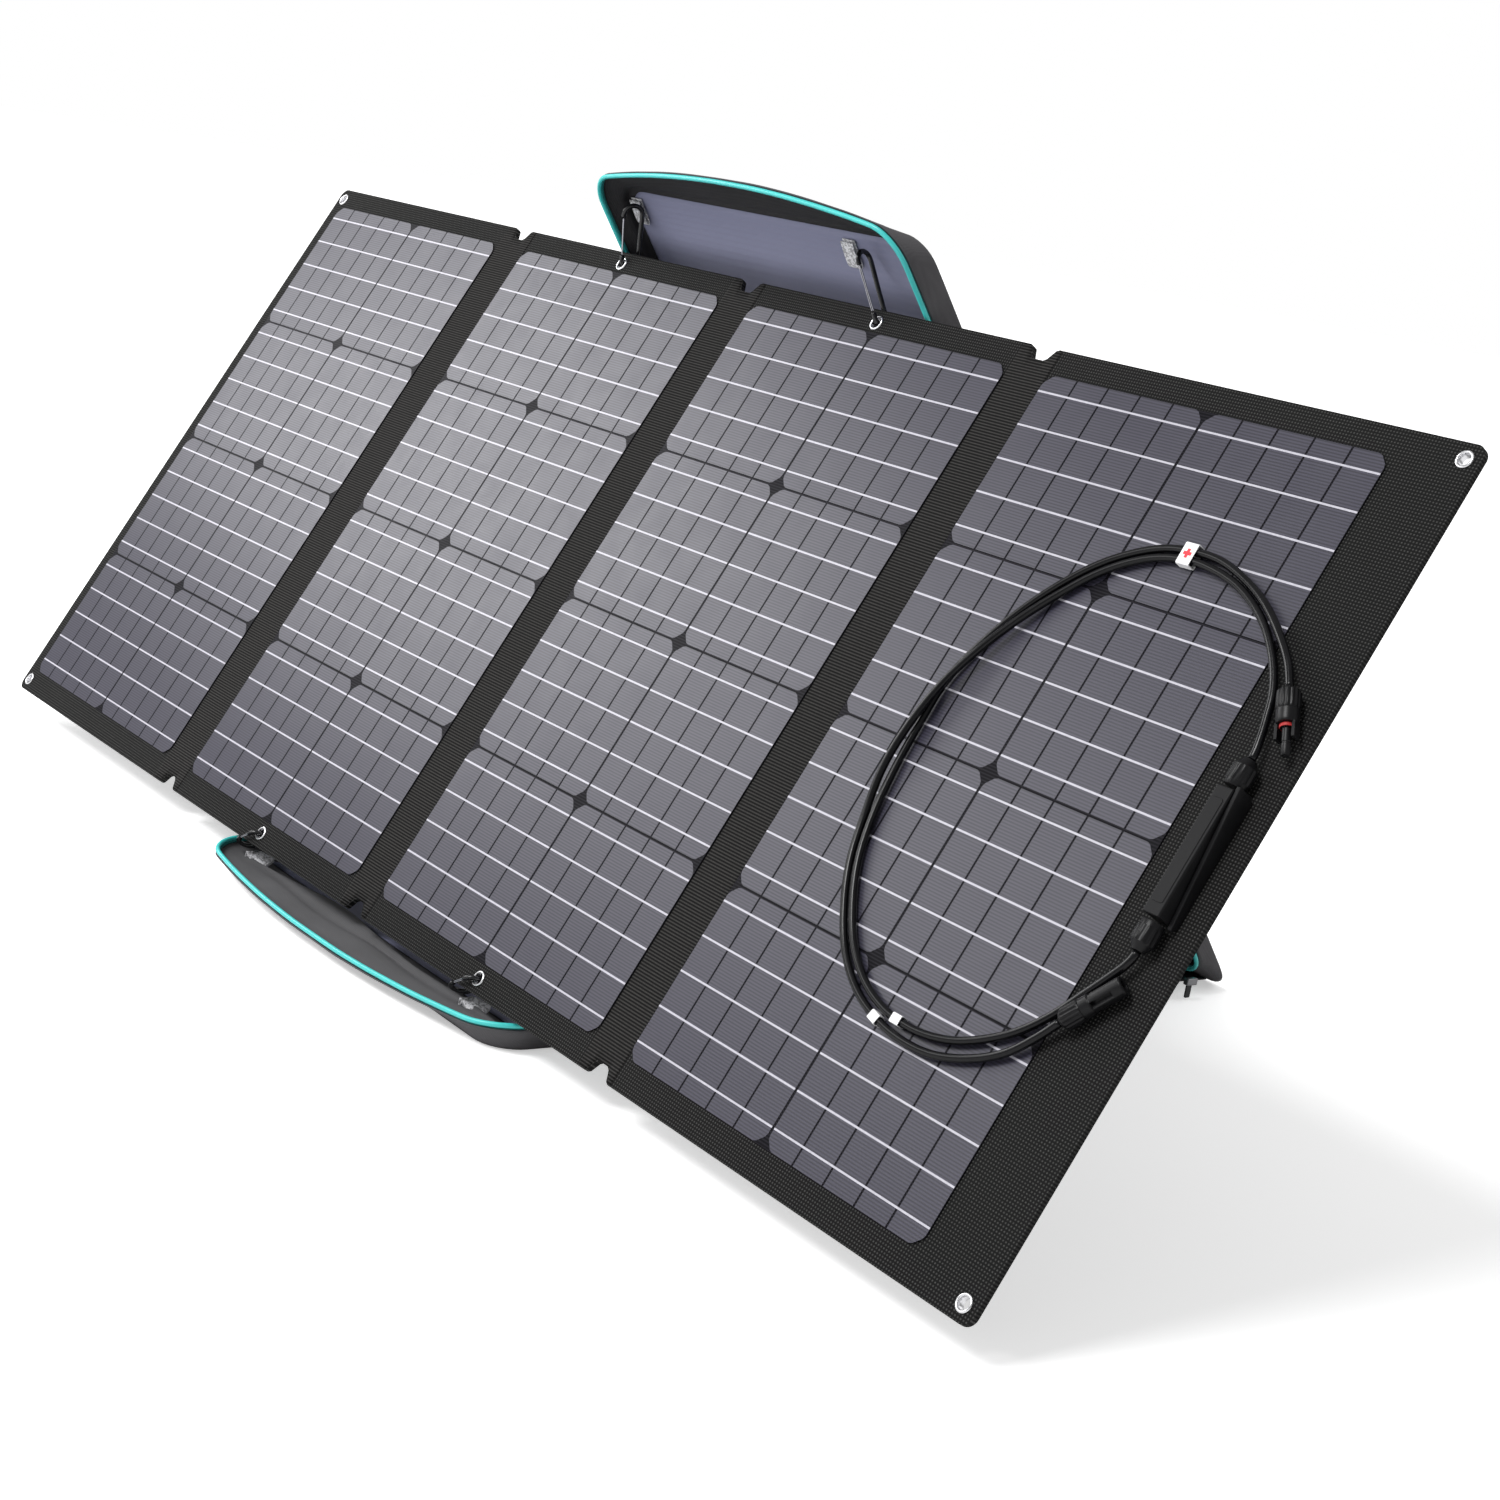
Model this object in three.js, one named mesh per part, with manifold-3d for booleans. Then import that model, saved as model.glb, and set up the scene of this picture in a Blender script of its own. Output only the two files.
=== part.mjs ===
// Folding solar panel with four leaves, standing on its own opened carry case.
// Millimetres, +Z up. +X runs along the panel's bottom edge, the cells face -Y and up.
// The part stands on the ground half of the case, and the origin is at the middle of its base.
import * as THREE from "three";
import { mergeVertices } from "three/addons/utils/BufferGeometryUtils.js";
import Module from "manifold-3d";

const wasm = await Module();
wasm.setup();

// ---- driving dimensions -------------------------------------------------------------------
const PANEL_W = 1570, PANEL_H = 655, BOARD_T = 5;       // open panel, fabric covered boards
const TILT = THREE.MathUtils.degToRad(61.5);            // panel to the ground
const EDGE_Z = 30;                                      // front bottom edge above the ground
const FOLDS = [382, 766, 1148];                         // fold lines from the left edge
const FOLD_GAP = 1.0;                                   // between neighbouring boards
const NOTCH_TOP = 14.5, NOTCH_IN = 8.5, NOTCH_D = 11.5; // notch at each end of a fold
const CORNER_R = 9;
const CELL_W = 336, CELL_LOW = 24.5, CELL_HIGH = 633, CELL_CUT = 10, FILM_T = 1.0;
const CELL_X = [17, 405, 787, 1168];                    // left edge of each cell film
const EYE_HOLE = 4.6, EYE_BARREL = 5.2, EYE_FLANGE = 6.8, CLOTH_HOLE = 5.6;
const EYE_BACK = -6.2, EYE_FRONT = 1.4;
const CORNER_EYES = [["tl", 12.5, 642.5], ["bl", 12.5, 12.5], ["tr", 1557.5, 642.5], ["br", 1557.5, 12.5]];
const CLIP_EYES = [["top_left", 569, 642.5], ["top_right", 951, 642.5],
  ["low_left", 575, 12.5], ["low_right", 965, 12.5]];
const GAP = 0.3;                                        // between touching pieces
const LEAD_R = 3, LEAD_Q = 5.5;                         // lead radius, height of its axis on the cells
const CASE_X = 781;                                     // middle of the case from the left edge
const SPINE = new THREE.Vector2(800, 12.7);             // Y, Z where the leg's rim plane starts
const PIPE_R = 3.0, WALL_T = 3.0, BASE_T = 3.2;
const RIM_D = 6.6, PIPE_D = 3.2;                        // wall edge and piping axis below the rim plane
const LINING_IN = 6, LINING_LOW = 3.5, LINING_TOP = 5;  // lining inside the wall and above the base
const LINING_OFF = 0.37;
const LEG_DEPTH = 30, FLOOR_Z = 27.5;
// half widths and ends of each tray at its rim and its base, measured from the spine
const LEG = { rimW: 229, rim0: 4, rim1: 845, rimR: 30, baseW: 222, base0: -38, base1: 826, baseR: 26,
  flare: 0.083, bow: 22, foot: 6, depth: LEG_DEPTH, drop: 0 };
const FLOOR = { rimW: 249, rim0: 14, rim1: 822, rimR: 34, baseW: 240, base0: 16, base1: 808, baseR: 32,
  flare: 0, bow: 20, foot: 0, depth: FLOOR_Z, drop: 9 };
const HANDLE_FROM = 330, HANDLE_LEN = 150, HANDLE_OUT = 26, HANDLE_W = 20, HANDLE_T = 3;
const ZIP_Y = 772, PULL_T = 2;
const ARC_STEPS = 5;                                    // in each round corner of a tray
const CENTRE = new THREE.Vector3(-785, -402.04, 0);      // moves the left front corner into the part frame

// ---- materials ----------------------------------------------------------------------------
const mat = (color, roughness, metalness = 0) =>
  new THREE.MeshStandardMaterial({ color, roughness, metalness });
const M = {
  cloth: mat(0x1d1d1f, 0.85), film: mat(0x5c5a66, 0.35), steel: mat(0xc8c8cc, 0.2, 1),
  plastic: mat(0x151517, 0.45), lead: mat(0x0b0b0c, 0.35), tag: mat(0xf2f2f2, 0.5), seal: mat(0x7a1a1a, 0.4),
  shell: mat(0x3a3a3d, 0.8), lining: mat(0x6c7085, 0.6), piping: mat(0x3cb8b4, 0.4),
  webbing: mat(0x8f9096, 0.85), hook: mat(0x101012, 0.3, 0.6), pull: mat(0x18181a, 0.5),
};

// ---- helpers ------------------------------------------------------------------------------
function solid(geometry) {
  const g = geometry.clone();
  g.deleteAttribute("normal");
  g.deleteAttribute("uv");
  const m = mergeVertices(g, 1e-4);
  return new wasm.Manifold(new wasm.Mesh({
    numProp: 3, vertProperties: Float32Array.from(m.attributes.position.array),
    triVerts: Uint32Array.from(m.index.array) }));
}
function geometryOf(manifold) {
  const m = manifold.getMesh();
  const g = new THREE.BufferGeometry();
  g.setAttribute("position", new THREE.BufferAttribute(Float32Array.from(m.vertProperties), 3));
  g.setIndex(new THREE.BufferAttribute(Uint32Array.from(m.triVerts), 1));
  return g;
}
// turns the faces outwards where a shape was drawn in a mirrored frame
function outward(g) {
  const p = g.attributes.position, index = g.index.array;
  const [a, b, c] = [0, 0, 0].map(() => new THREE.Vector3());
  let volume = 0;
  for (let i = 0; i < index.length; i += 3) {
    a.fromBufferAttribute(p, index[i]);
    b.fromBufferAttribute(p, index[i + 1]);
    c.fromBufferAttribute(p, index[i + 2]);
    volume += a.dot(b.cross(c));
  }
  if (volume < 0) index.reverse();
  return g;
}
function node(parent, name, geometry, material) {
  const g = outward(geometry.index ? geometry : mergeVertices(geometry));
  g.computeVertexNormals();
  const mesh = new THREE.Mesh(g, material);
  mesh.name = name;
  parent.add(mesh);
  return mesh;
}
// circle section for a tube along a curve
function ringShape(r, n) {
  const s = new THREE.Shape();
  for (let i = 0; i < n; i++) {
    const a = (2 * Math.PI * i) / n;
    if (i) {
      s.lineTo(r * Math.cos(a), r * Math.sin(a));
    } else {
      s.moveTo(r, 0);
    }
  }
  s.closePath();
  return s;
}
function tube(points, r, sides, steps) {
  const curve = new THREE.CatmullRomCurve3(points, false, "centripetal");
  return new THREE.ExtrudeGeometry(ringShape(r, sides), { steps, extrudePath: curve, bevelEnabled: false });
}
// a straight bar of a section drawn in (width, thickness), from a to b, width along side
function bar(a, b, side, shape) {
  const len = a.distanceTo(b);
  const g = new THREE.ExtrudeGeometry(shape, { depth: len, bevelEnabled: false, curveSegments: 3 });
  const z = b.clone().sub(a).normalize();
  const x = side.clone().addScaledVector(z, -side.dot(z)).normalize();
  const y = z.clone().cross(x);
  g.applyMatrix4(new THREE.Matrix4().makeBasis(x, y, z).setPosition(a));
  return g;
}
function roundRect(w, h, r) {
  const s = new THREE.Shape(), x = w / 2 - r, y = h / 2 - r;
  s.moveTo(-x, -h / 2);
  s.absarc(x, -y, r, -Math.PI / 2, 0);
  s.absarc(x, y, r, 0, Math.PI / 2);
  s.absarc(-x, y, r, Math.PI / 2, Math.PI);
  s.absarc(-x, -y, r, Math.PI, Math.PI * 1.5);
  return s;
}
function lathe(profile, n) {
  return new THREE.LatheGeometry(profile.map(([r, y]) => new THREE.Vector2(r, y)), n);
}

// ---- panel: local frame x along the bottom edge, y up the panel, z out of its front --------
const root = new THREE.Group();
root.position.copy(CENTRE);
const panel = new THREE.Group();
panel.position.set(0, 0, EDGE_Z);
panel.rotation.x = TILT;
root.add(panel);

// outline of a leaf's board, with half a notch at each end of each of its folds
function leafShape(i) {
  const left = i ? FOLDS[i - 1] + FOLD_GAP / 2 : 0;
  const right = i < 3 ? FOLDS[i] - FOLD_GAP / 2 : PANEL_W;
  const a = NOTCH_TOP - FOLD_GAP / 2, b = NOTCH_IN - FOLD_GAP / 2;
  const H = PANEL_H, d = NOTCH_D, r = CORNER_R, s = new THREE.Shape();
  // offsets from the fold and from the end, from the fold outwards
  const notch = [[0, d], [b - 3, d], [b, d - 2], [a - 1.5, 1.5], [a + 1.5, 0]];
  const back = [...notch].reverse();
  const low = i ? notch.map(([x, y]) => [left + x, y]) : [[r, 0]];
  s.moveTo(...low[0]);
  for (const p of low.slice(1)) s.lineTo(...p);
  if (i === 3) {
    s.absarc(right - r, r, r, -Math.PI / 2, 0);
    s.absarc(right - r, H - r, r, 0, Math.PI / 2);
  } else {
    for (const [x, y] of back) s.lineTo(right - x, y);
    for (const [x, y] of notch) s.lineTo(right - x, H - y);
  }
  if (i === 0) {
    s.absarc(r, H - r, r, Math.PI / 2, Math.PI);
    s.absarc(r, r, r, Math.PI, Math.PI * 1.5);
  } else {
    for (const [x, y] of back) s.lineTo(left + x, H - y);
  }
  s.closePath();
  for (const [, x, y] of [...CORNER_EYES, ...CLIP_EYES]) {
    if (x > left && x < right) {
      const h = new THREE.Path();
      h.absarc(x, y, CLOTH_HOLE, 0, Math.PI * 2, true);
      s.holes.push(h);
    }
  }
  return s;
}
for (let i = 0; i < 4; i++) {
  const g = new THREE.ExtrudeGeometry(leafShape(i),
    { depth: BOARD_T, bevelEnabled: false, curveSegments: 16 });
  g.translate(0, 0, -BOARD_T);
  node(panel, `leaf_${i + 1}_board`, g, M.cloth);

  const [x0, x1, y0, y1, c] = [CELL_X[i], CELL_X[i] + CELL_W, CELL_LOW, CELL_HIGH, CELL_CUT];
  const outline = [[x0 + c, y0], [x1 - c, y0], [x1, y0 + c], [x1, y1 - c], [x1 - c, y1],
    [x0 + c, y1], [x0, y1 - c], [x0, y0 + c]];
  const s = new THREE.Shape(outline.map(([x, y]) => new THREE.Vector2(x, y)));
  const f = new THREE.ExtrudeGeometry(s, { depth: FILM_T, bevelEnabled: false });
  f.translate(0, 0, GAP);
  node(panel, `leaf_${i + 1}_cells`, f, M.film);
}

// rolled eyelets through the cloth
for (const [name, x, y] of [...CORNER_EYES, ...CLIP_EYES]) {
  const g = lathe([[EYE_HOLE, EYE_BACK], [EYE_FLANGE, EYE_BACK], [EYE_FLANGE, -BOARD_T - GAP],
    [EYE_BARREL, -BOARD_T - GAP], [EYE_BARREL, GAP], [EYE_FLANGE, GAP], [EYE_FLANGE - 0.5, EYE_FRONT],
    [EYE_HOLE + 0.4, EYE_FRONT], [EYE_HOLE, EYE_FRONT - 0.5], [EYE_HOLE, EYE_BACK]], 16);
  g.rotateX(Math.PI / 2);
  g.translate(x, y, 0);
  node(panel, `eyelet_${name}`, g, M.steel);
}

// ---- junction box on the right border, and its two leads -----------------------------------
const BOX = { x0: 1534, x1: 1548.6, y0: 282, y1: 377, top: 19.3 };
const GLAND_X = 1540.8, GLAND_Z = 10;                    // axis of both glands
{
  const s = roundRect(BOX.x1 - BOX.x0, BOX.top - GAP, 1.5);
  const g = new THREE.ExtrudeGeometry(s, { depth: BOX.y1 - BOX.y0, bevelEnabled: false, curveSegments: 3 });
  g.rotateX(Math.PI / 2);
  g.translate((BOX.x0 + BOX.x1) / 2, BOX.y1, (BOX.top + GAP) / 2);
  node(panel, "box_body", g, M.plastic);

  // side cover plate with round lower corners
  const c = new THREE.Shape(), [y0, y1, r, top] = [BOX.y0 - 3, BOX.y1 + 3, 6, 18.6];
  c.moveTo(y0, top);
  c.absarc(y0 + r, GAP + r, r, Math.PI, Math.PI * 1.5);
  c.absarc(y1 - r, GAP + r, r, -Math.PI / 2, 0);
  c.lineTo(y1, top);
  c.closePath();
  const p = new THREE.ExtrudeGeometry(c, { depth: 3.4, bevelEnabled: false, curveSegments: 5 });
  p.rotateY(Math.PI / 2);
  p.rotateX(Math.PI / 2);
  p.translate(BOX.x1 + 0.4, 0, 0);
  node(panel, "box_cover", p, M.plastic);

  const gland = (name, y0, y1, dir) => {
    // collar against the box, a ribbed sleeve, then a short soft boot
    const L = y1 - y0;
    const prof = [[0, 0], [8.2, 0], [8.2, 3.5], [9.0, 4.2], [9.0, L - 6], [7.6, L - 4.5], [5.2, L], [0, L]];
    const g = lathe(prof.map(([r, y]) => [r, dir * y]), 14);
    g.translate(GLAND_X, dir > 0 ? y0 : y1, GLAND_Z);
    node(panel, name, g, M.plastic);
  };
  gland("box_gland_upper", BOX.y1 + GAP + 3, BOX.y1 + 24, 1);
  gland("box_gland_lower", BOX.y0 - 24, BOX.y0 - GAP - 3, -1);
}
const V = (x, y, z) => new THREE.Vector3(x, y, z);
const GX = GLAND_X, Q = LEAD_Q;
// upper lead: out of the top of the box, anticlockwise round the loop, to the socket plug
const UPPER = [V(GX, 401.4, 10), V(GX, 404.5, 10), V(1539, 413, 9.6), V(1533, 430, 8),
  V(1524, 451, 6.4), V(1508, 473, Q), V(1484, 495, Q), V(1452, 512, Q), V(1422, 519, Q),
  V(1398, 520, Q), V(1374, 516, Q), V(1350, 505.5, Q), V(1329, 490.5, Q), V(1308, 468, Q + 0.5),
  V(1289, 441, Q + 2.5), V(1272.5, 408.5, Q + 5.5), V(1260, 376, Q + 7), V(1252.5, 340, Q + 7),
  V(1250, 302, Q + 5), V(1255.8, 263, Q + 1), V(1266.8, 229, Q), V(1286, 198, Q), V(1311, 170, Q),
  V(1340.5, 150.4, Q), V(1370, 140, Q), V(1400, 135.5, Q), V(1431, 137, Q), V(1461, 146.5, Q),
  V(1486, 161, Q + 0.6), V(1503.5, 179, 7.8), V(1515.6, 195.2, 9.3)];
// lower lead: out of the bottom of the box, clockwise round the loop, to the pin plug
const LOWER = [V(GX, 257.6, 10), V(GX, 254.5, 10), V(1538, 247, 9.4), V(1530.5, 236, 8),
  V(1517, 217, 6.2), V(1503, 196.5, Q), V(1485.5, 177.5, Q), V(1464, 162.6, Q), V(1441, 152, Q),
  V(1414, 146.2, Q), V(1389, 146, Q), V(1371, 148.4, Q), V(1344, 157.8, Q), V(1316, 176, Q),
  V(1292, 202.6, Q), V(1273.4, 232.8, Q), V(1262.6, 265, Q), V(1256.4, 302, Q), V(1253.8, 340, Q),
  V(1254, 378, Q), V(1264.6, 411.6, Q), V(1281.8, 445.4, Q), V(1301.6, 473, Q), V(1324.6, 496.6, Q),
  V(1348.2, 512.6, Q), V(1373.4, 523.4, Q), V(1398, 527.2, Q), V(1424, 526.6, Q), V(1450, 519.6, Q),
  V(1478, 507, Q + 0.4), V(1506, 487.6, 7.2), V(1525.5, 470.5, 8.6), V(1537.1, 455.6, 9.3)];
node(panel, "lead_upper", tube(UPPER, LEAD_R, 8, 66), M.lead);
node(panel, "lead_lower", tube(LOWER, LEAD_R, 8, 72), M.lead);

// plug along an axis: turned body, with its own frame at the cable end
function plugFrame(x, y, z, dx, dy) {
  const f = new THREE.Group();
  const dir = V(dx, dy, 0).normalize();
  f.position.set(x, y, z);
  f.quaternion.setFromUnitVectors(V(0, 1, 0), dir);
  panel.add(f);
  return f;
}
{
  const pin = plugFrame(1537.4, 455.1, 9.3, 0.5, -0.866);
  const ring = lathe([[0, 0], [5.2, 0], [8.4, 3], [8.4, 15], [7.6, 17], [0, 17]], 16);
  node(pin, "plug_pin_nut", ring, M.plastic);
  const body = lathe([[0, 17.3], [8.0, 17.3], [8.0, 25], [7.2, 27], [4.3, 27], [4.3, 30], [0, 30]], 16);
  let b = solid(body);
  for (const side of [-1, 1]) {
    // two latch arms beside the pin
    const arm = new THREE.BoxGeometry(2.2, 12, 7);
    arm.translate(side * 6.3, 32, 0);
    b = b.add(solid(arm));
  }
  node(pin, "plug_pin_body", geometryOf(b), M.plastic);
  const seal = lathe([[4.6, 27.3], [5.1, 27.3], [5.1, 29.8], [4.6, 29.8], [4.6, 27.3]], 16);
  node(pin, "plug_pin_seal", seal, M.seal);
  const contact = lathe([[0, 30.3], [3.2, 30.3], [3.2, 49], [2.6, 50], [0, 50]], 12);
  node(pin, "plug_pin_contact", contact, M.plastic);

  const sock = plugFrame(1516, 195.6, 9.3, 0.6, 0.8);
  const nut = lathe([[0, 0], [5.2, 0], [8.0, 3], [8.0, 15], [7.4, 17], [0, 17]], 16);
  node(sock, "plug_socket_nut", nut, M.plastic);
  const slot = new THREE.BoxGeometry(20, 16, 3.4);
  slot.translate(0, 33, 4.6);
  const hollow = lathe([[0, 42], [3.9, 42], [3.9, 52], [0, 52]], 12);
  node(sock, "plug_socket_body", geometryOf(
    solid(lathe([[0, 17.3], [7.6, 17.3], [7.6, 24], [7.0, 25], [7.0, 48], [6.4, 49], [0, 49]], 16))
      .subtract(solid(hollow)).subtract(solid(slot))), M.plastic);
}
// printed sleeve round both leads, and two small ones lower down
{
  const sleeve = (name, at, dir, w, h, hw, hh, len) => {
    const s = roundRect(w, h, 1.2), p = roundRect(hw, hh, 0.8);
    s.holes.push(new THREE.Path(p.getPoints(3).reverse()));
    const a = at.clone().addScaledVector(dir, -len / 2);
    const b = at.clone().addScaledVector(dir, len / 2);
    node(panel, name, bar(a, b, V(-dir.y, dir.x, 0), s), M.tag);
  };
  sleeve("tag_plus", V(1398, 523.6, Q), V(1, 0.02, 0).normalize(), 17.4, 7.7, 15.6, 6.8, 12);
  sleeve("tag_small_outer", V(1370, 140, Q), V(1, -0.25, 0).normalize(), 7.6, 7.7, 6.8, 6.8, 9);
  sleeve("tag_small_inner", V(1389, 146, Q), V(1, -0.02, 0).normalize(), 7.6, 7.7, 6.8, 6.8, 9);
}

// ---- carry case: two shallow trays, one on the ground and one as the rear leg --------------
// rounded rectangle as a ring of points (x, s) with a fixed count
function ring(halfW, s0, s1, r, flare, bow) {
  const pts = [];
  const line = (a, b, n) => {
    for (let i = 1; i < n; i++) {
      pts.push([a[0] + (b[0] - a[0]) * i / n, a[1] + (b[1] - a[1]) * i / n]);
    }
  };
  const arc = (cx, cy, a0) => {
    for (let i = 0; i <= ARC_STEPS; i++) {
      const a = a0 + (Math.PI / 2) * (i / ARC_STEPS);
      pts.push([cx + r * Math.cos(a), cy + r * Math.sin(a)]);
    }
  };
  pts.push([0, s0]);
  line([0, s0], [halfW - r, s0], 3);
  arc(halfW - r, s0 + r, -Math.PI / 2);
  line([halfW, s0 + r], [halfW, s1 - r], 6);
  arc(halfW - r, s1 - r, 0);
  line([halfW - r, s1], [-halfW + r, s1], 8);
  arc(-halfW + r, s1 - r, Math.PI / 2);
  line([-halfW, s1 - r], [-halfW, s0 + r], 6);
  arc(-halfW + r, s0 + r, Math.PI);
  line([-halfW + r, s0], [0, s0], 3);
  return pts.map(([x, s]) => {
    const t = (s - s0) / (s1 - s0);
    const w = THREE.MathUtils.clamp((t - 0.9) / 0.1, 0, 1);
    const k = x / halfW;
    return [x * (1 + flare * (1 - t)), s + bow * w * (1 - k * k), w * (1 - k * k)];
  });
}
// closed shell through a list of rings of 3D points, first and last ring capped by a fan
function loft(rings) {
  const n = rings[0].length, pos = [], idx = [];
  for (const p of rings.flat()) pos.push(p.x, p.y, p.z);
  const cap = (k, flip) => {
    const c = new THREE.Vector3();
    for (const p of rings[k]) c.add(p);
    c.divideScalar(n);
    const ci = pos.length / 3;
    pos.push(c.x, c.y, c.z);
    for (let i = 0; i < n; i++) {
      const a = k * n + i, b = k * n + ((i + 1) % n);
      idx.push(ci, flip ? b : a, flip ? a : b);
    }
  };
  for (let k = 0; k + 1 < rings.length; k++) {
    for (let i = 0; i < n; i++) {
      const a = k * n + i, b = k * n + ((i + 1) % n), c = a + n, d = b + n;
      idx.push(a, b, d, a, d, c);
    }
  }
  cap(0, true);
  cap(rings.length - 1, false);
  const g = new THREE.BufferGeometry();
  g.setAttribute("position", new THREE.Float32BufferAttribute(pos, 3));
  g.setIndex(idx);
  return g;
}
// frames of the two halves: x across, s away from the spine, d behind the rim plane
const EDGE_BACK = new THREE.Vector2(PANEL_H * Math.cos(TILT) + BOARD_T * Math.sin(TILT),
  EDGE_Z + PANEL_H * Math.sin(TILT) - BOARD_T * Math.cos(TILT));
let legDir = EDGE_BACK.clone().sub(SPINE).normalize();
let legOut = new THREE.Vector2(legDir.y, -legDir.x);
const touch = EDGE_BACK.clone().addScaledVector(legOut, 0.8);
legDir = touch.clone().sub(SPINE).normalize();
legOut = new THREE.Vector2(legDir.y, -legDir.x);
const legPoint = (x, s, d) => {
  const p = SPINE.clone().addScaledVector(legDir, s).addScaledVector(legOut, d);
  return V(CASE_X + x, p.x, p.y);
};
const floorPoint = (x, s, d) => V(CASE_X + x, SPINE.x - s, FLOOR_Z - d);

function half(prefix, point, o) {
  // rim drop: the far wall sinks towards its middle
  const at = (r, d, drop) => r.map(([x, s, m]) => point(x, s, d + drop * m));
  const rim = (inset) => ring(o.rimW - inset, o.rim0 + inset, o.rim1 - inset, o.rimR - inset, o.flare, o.bow);
  // inner surfaces stay further in at the spine end, where the leg's wall slopes outwards
  const base = (inset) =>
    ring(o.baseW - inset, o.base0 + inset + (inset ? o.foot : 0), o.base1 - inset, o.baseR - inset, o.flare, 0);
  const shell = [at(base(0), o.depth, 0), at(rim(0), RIM_D, o.drop), at(rim(WALL_T), RIM_D, o.drop),
    at(base(WALL_T + 1), o.depth - BASE_T, 0)];
  node(root, `${prefix}_shell`, loft(shell), M.shell);
  // the lining is sewn in a little off the tray's middle
  const sewn = (inset) => base(inset).map(([x, s, m]) => [x + LINING_OFF, s, m]);
  const lining = [at(sewn(LINING_IN), o.depth - LINING_LOW, 0),
    at(sewn(LINING_IN + 3), o.depth - LINING_TOP, 0)];
  node(root, `${prefix}_lining`, loft(lining), M.lining);
  const pipe = at(rim(WALL_T / 2), PIPE_D, o.drop);
  const start = pipe[0].clone().lerp(pipe[1], 0.01);
  const end = pipe[0].clone().lerp(pipe[pipe.length - 1], 0.01);
  node(root, `${prefix}_piping`, tube([start, ...pipe.slice(1), end], PIPE_R, 6, 84), M.piping);
}
half("case_leg", legPoint, LEG);
half("case_floor", floorPoint, FLOOR);
{
  // fabric band between the two halves, flat on the ground
  const g = new THREE.BoxGeometry(420, 60, 1.6);
  g.translate(CASE_X, 816, 1.0);
  node(root, "case_spine", g, M.shell);
}

// ---- snap hooks through the four inner eyelets, and the webbing loops they pull on ---------
const HOOK_R = 2.2, GATE_R = 1.5, HOOK_NEAR = 8.0, HOOK_FAR = 9.0;
const HOOK_SEAT = 8.6;                                    // from the eyelet to the middle of its border
const HOOK_MID = -2.4;                                    // middle of the board's thickness
const GATE_SPAN = [0.12, 0.94];                           // ends of the gate along the hook
function toPanel(p) {
  const c = Math.cos(TILT), s = Math.sin(TILT), z = p.z - EDGE_Z;
  return V(p.x, p.y * c + z * s, -p.y * s + z * c);
}
const HOOK_TIPS = [toPanel(legPoint(588 - CASE_X, 812, 13)), toPanel(legPoint(928 - CASE_X, 812, 13)),
  toPanel(V(547, 4, 22)), toPanel(V(937, 4, 22))];
CLIP_EYES.forEach(([name, x, y], i) => {
  // a drop-shaped ring round the panel's border, square to the board, from the eyelet to its tip
  const tip = HOOK_TIPS[i], out = V(tip.x - x, tip.y - y, 0).normalize();
  const c1 = V(x, y, HOOK_MID).addScaledVector(out, HOOK_SEAT);
  const u = tip.clone().sub(c1).normalize();
  const w = V(0, 0, 1).addScaledVector(u, -u.z).normalize();
  const L = tip.distanceTo(c1) - HOOK_FAR;
  const P = (s, t) => c1.clone().addScaledVector(u, s).addScaledVector(w, t);
  const at = (k) => P(k * L, HOOK_NEAR + (HOOK_FAR - HOOK_NEAR) * k);
  const [g0, g1] = GATE_SPAN, gap = 0.4 / L;
  const pts = [at(g0 - gap), at(g0 / 2 - gap)];
  for (let j = 0; j <= 8; j++) {
    const a = (Math.PI * j) / 8;
    pts.push(P(-HOOK_NEAR * Math.sin(a), HOOK_NEAR * Math.cos(a)));
  }
  pts.push(P(L / 2, -(HOOK_NEAR + HOOK_FAR) / 2));
  for (let j = 0; j <= 8; j++) {
    const a = (Math.PI * j) / 8;
    pts.push(P(L + HOOK_FAR * Math.sin(a), -HOOK_FAR * Math.cos(a)));
  }
  pts.push(at(g1 + gap));
  node(panel, `hook_${name}`, tube(pts, HOOK_R, 8, 34), M.hook);
  node(panel, `hook_gate_${name}`, bar(at(g0), at(g1), w, ringShape(GATE_R, 8)), M.steel);
});
{
  const band = roundRect(16, 2.6, 1.0), depth = LEG_DEPTH - 6.6;
  const strap = (name, a, b, side) => node(root, name, bar(a, b, side, band), M.webbing);
  for (const [name, x] of [["left", 577], ["right", 897]]) {
    strap(`loop_top_${name}`, legPoint(x - CASE_X, 786, depth), legPoint(x - CASE_X, 812, depth), V(1, 0, 0));
  }
  for (const [name, x] of [["left", 547], ["right", 937]]) {
    strap(`loop_low_${name}`, V(x + 24, 20, 9.2), V(x + 10, 10, 14.2), V(0, 1, 0));
  }
}

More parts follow.
